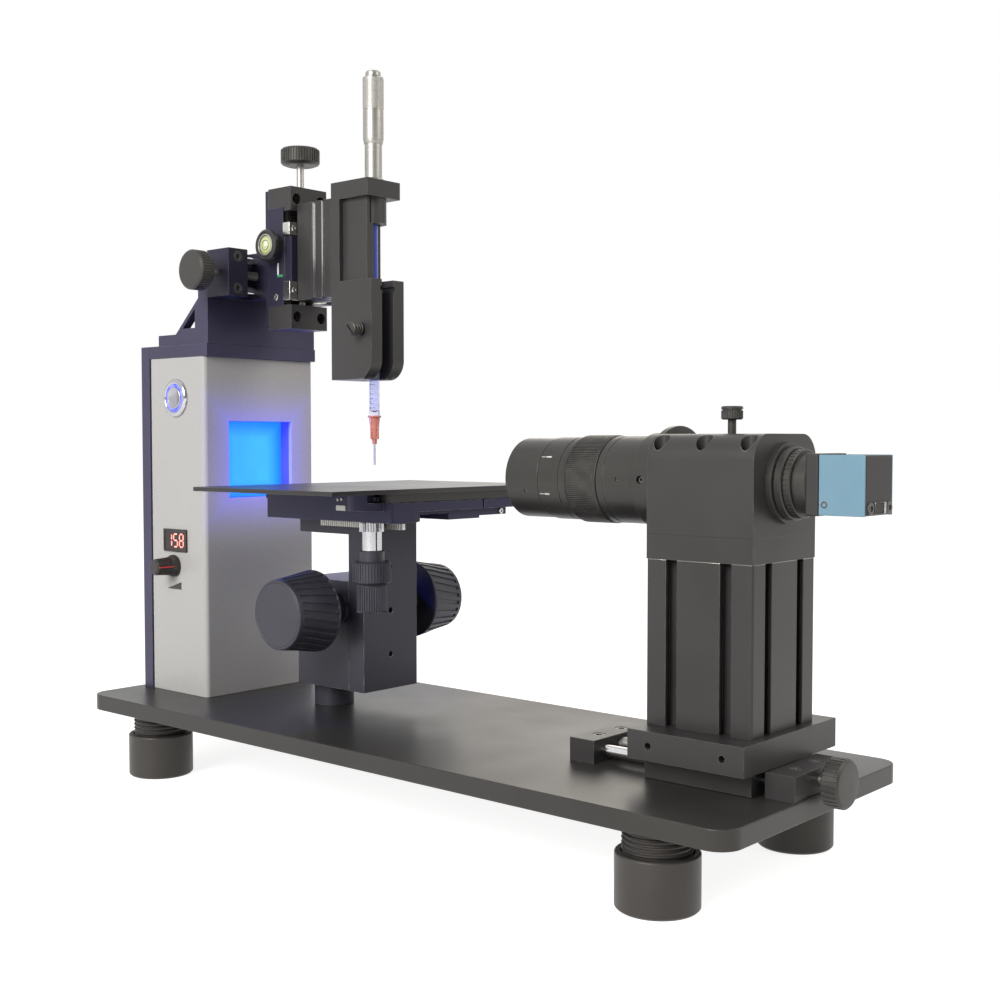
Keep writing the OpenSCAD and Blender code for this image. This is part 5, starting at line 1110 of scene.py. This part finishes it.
stands_for(smoothed(zoom, 30), lens_black, "zoom_ring")
for number, turn in enumerate((32, -21)):
    for part, begin, stop, wide in (("thin", 0.7, 4.3, 0.18), ("thick", 4.3, 7.3, 0.42)):
        line = stock(f"index_line_{number + 1}_{part}", zoom_start, (begin, -index_r - 0.03, -wide),
                     (stop, -index_r + 0.3, wide))
        pick(line, "FACE", lambda face: True)
        turn_about((1, 0, 0), -math.radians(turn), (0, 0, lens_z))
        put_down()
        sits_on(line, white_paint, "zoom_ring")
coated = mottled("coated glass", 30, (0.01, 0.012, 0.03), (0.03, 0.02, 0.06), Roughness=0.03,
                 Coat_Weight=1.0, IOR=1.6)
dressed("lens_elements", coated)

# Camera and its adapter
# A ribbed lock ring and cone join the lens to a small square camera: a dark die cast body with
# light blue side plates, a round screw in each plate, and two lugs and a socket at the end.
ring_start = (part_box("camera_adapter")[0].x, 0, lens_z)
adapter = opened(turned("lock_ring", ring_start, (1, 0, 0), [
    (0, 11.1), (0, 17.2), (0.5, 17.7), (3.5, 17.7), (4, 17.2), (4, 16), (4.6, 16.5), (7.6, 16.5), (8, 16),
    (8, 14.3), (14.4, 14.3), (15, 13.8), (15, 11.1), (0, 11.1)], 160))
fluted(adapter, ring_start, (1, 0, 0), (4.6, 7.6), 40, 0.4)
stands_for(smoothed(adapter, 30), lens_black, "camera_adapter")
camera_low, _, _, camera_size = measured("camera_body")
camera_start = Vector((camera_low.x, 0, lens_z))
half, body_l, camera_l = 14.5, 30, camera_size.x
die_cast = black_metal("die cast camera", (0.026, 0.026, 0.028), (0.2, 0.2, 0.2), 0.5, wear=0.3,
                       grain=1400, depth=0.04, gloss=0.4)
for name, begin, end, inset, edge in (("camera_front", 0, 6.8, 0, 0.9),
                                      ("camera_middle", 7, body_l, 0.7, 0.9),
                                      ("camera_core", 3, 27, 1, 0)):
    side = half - inset
    part = stock(name, camera_start, (begin, -side, -side), (end, side, side))
    if edge:
        eased(part, edge, 3)
    stands_for(part, die_cast, "camera_body")
wrap = clouded("light blue enamel", 1600, 25, (0.15, 0.29, 0.39), (0.19, 0.34, 0.44), (0.36, 0.46), 0.015,
               Specular_IOR_Level=0.5, Coat_Weight=0.2, Coat_Roughness=0.3)
for number, side in enumerate((-1, 1)):
    near, far = sorted((side * (half - 0.1), side * (half - 1.2)))
    side_cover = stock(f"camera_side_plate_{number + 1}", camera_start, (7, near, -14), (29.8, far, 14))
    sits_on(eased(side_cover, 0.3), wrap, "camera_body")
    socket_screw(f"camera_screw_{number + 1}", camera_start + Vector((9.8, side * (half - 0.5), -9.1)) * mm,
                 (0, side, 0), 1.9, 0.5, screw_black, "camera_body")
lug_l = camera_l - body_l + 2
for number, side in enumerate((-1, 1)):
    lug_start = camera_start + Vector((body_l - 2, side * 9.4, -10.4)) * mm
    lug = turned(f"camera_lug_{number + 1}", lug_start, (1, 0, 0), [
        (0, 2.9), (lug_l - 0.4, 2.9), (lug_l, 2.5), (lug_l, 1.4), (2.2, 1.4)], 40)
    sits_on(eased(lug, 0.1), screw_black, "camera_body")
socket_frame = stock("camera_socket", camera_start, (body_l - 2, -5.6, -13.2), (camera_l, 5.6, -7.6))
pick(socket_frame, "FACE", lambda face: face.normal.x > 0.9)
bpy.ops.mesh.inset(thickness=0.8 * mm)
bpy.ops.transform.translate(value=(-2.5 * mm, 0, 0))
put_down()
sits_on(eased(socket_frame, 0.15), screw_steel, "camera_body")

# Lens clamp screw
# A thumb screw with a ribbed head, down through the block on to the lens.
thumb_low, _, thumb_middle, thumb_size = measured("lens_clamp_screw")
thumb_start = (thumb_middle.x, 0, thumb_low.z)
thumb_l, head_r = thumb_size.z, thumb_size.x / 2
head_foot = thumb_l - 6.7
thumb = turned("lens_thumb_screw", thumb_start, (0, 0, 1), [
    (0, 1.6), (0.6, 2.1), (head_foot, 2.1), (head_foot, head_r - 0.8), (head_foot + 0.6, head_r),
    (thumb_l - 2.2, head_r), (thumb_l - 2.1, head_r - 0.6), (thumb_l - 1.6, head_r - 0.6),
    (thumb_l - 1.5, head_r), (thumb_l - 0.5, head_r), (thumb_l, head_r - 0.6), (thumb_l, 2)], 112)
fluted(thumb, thumb_start, (0, 0, 1), (head_foot + 0.6, thumb_l - 2.2), 28, 0.4)
stands_for(eased(thumb, 0.1), knob_black, "lens_clamp_screw")
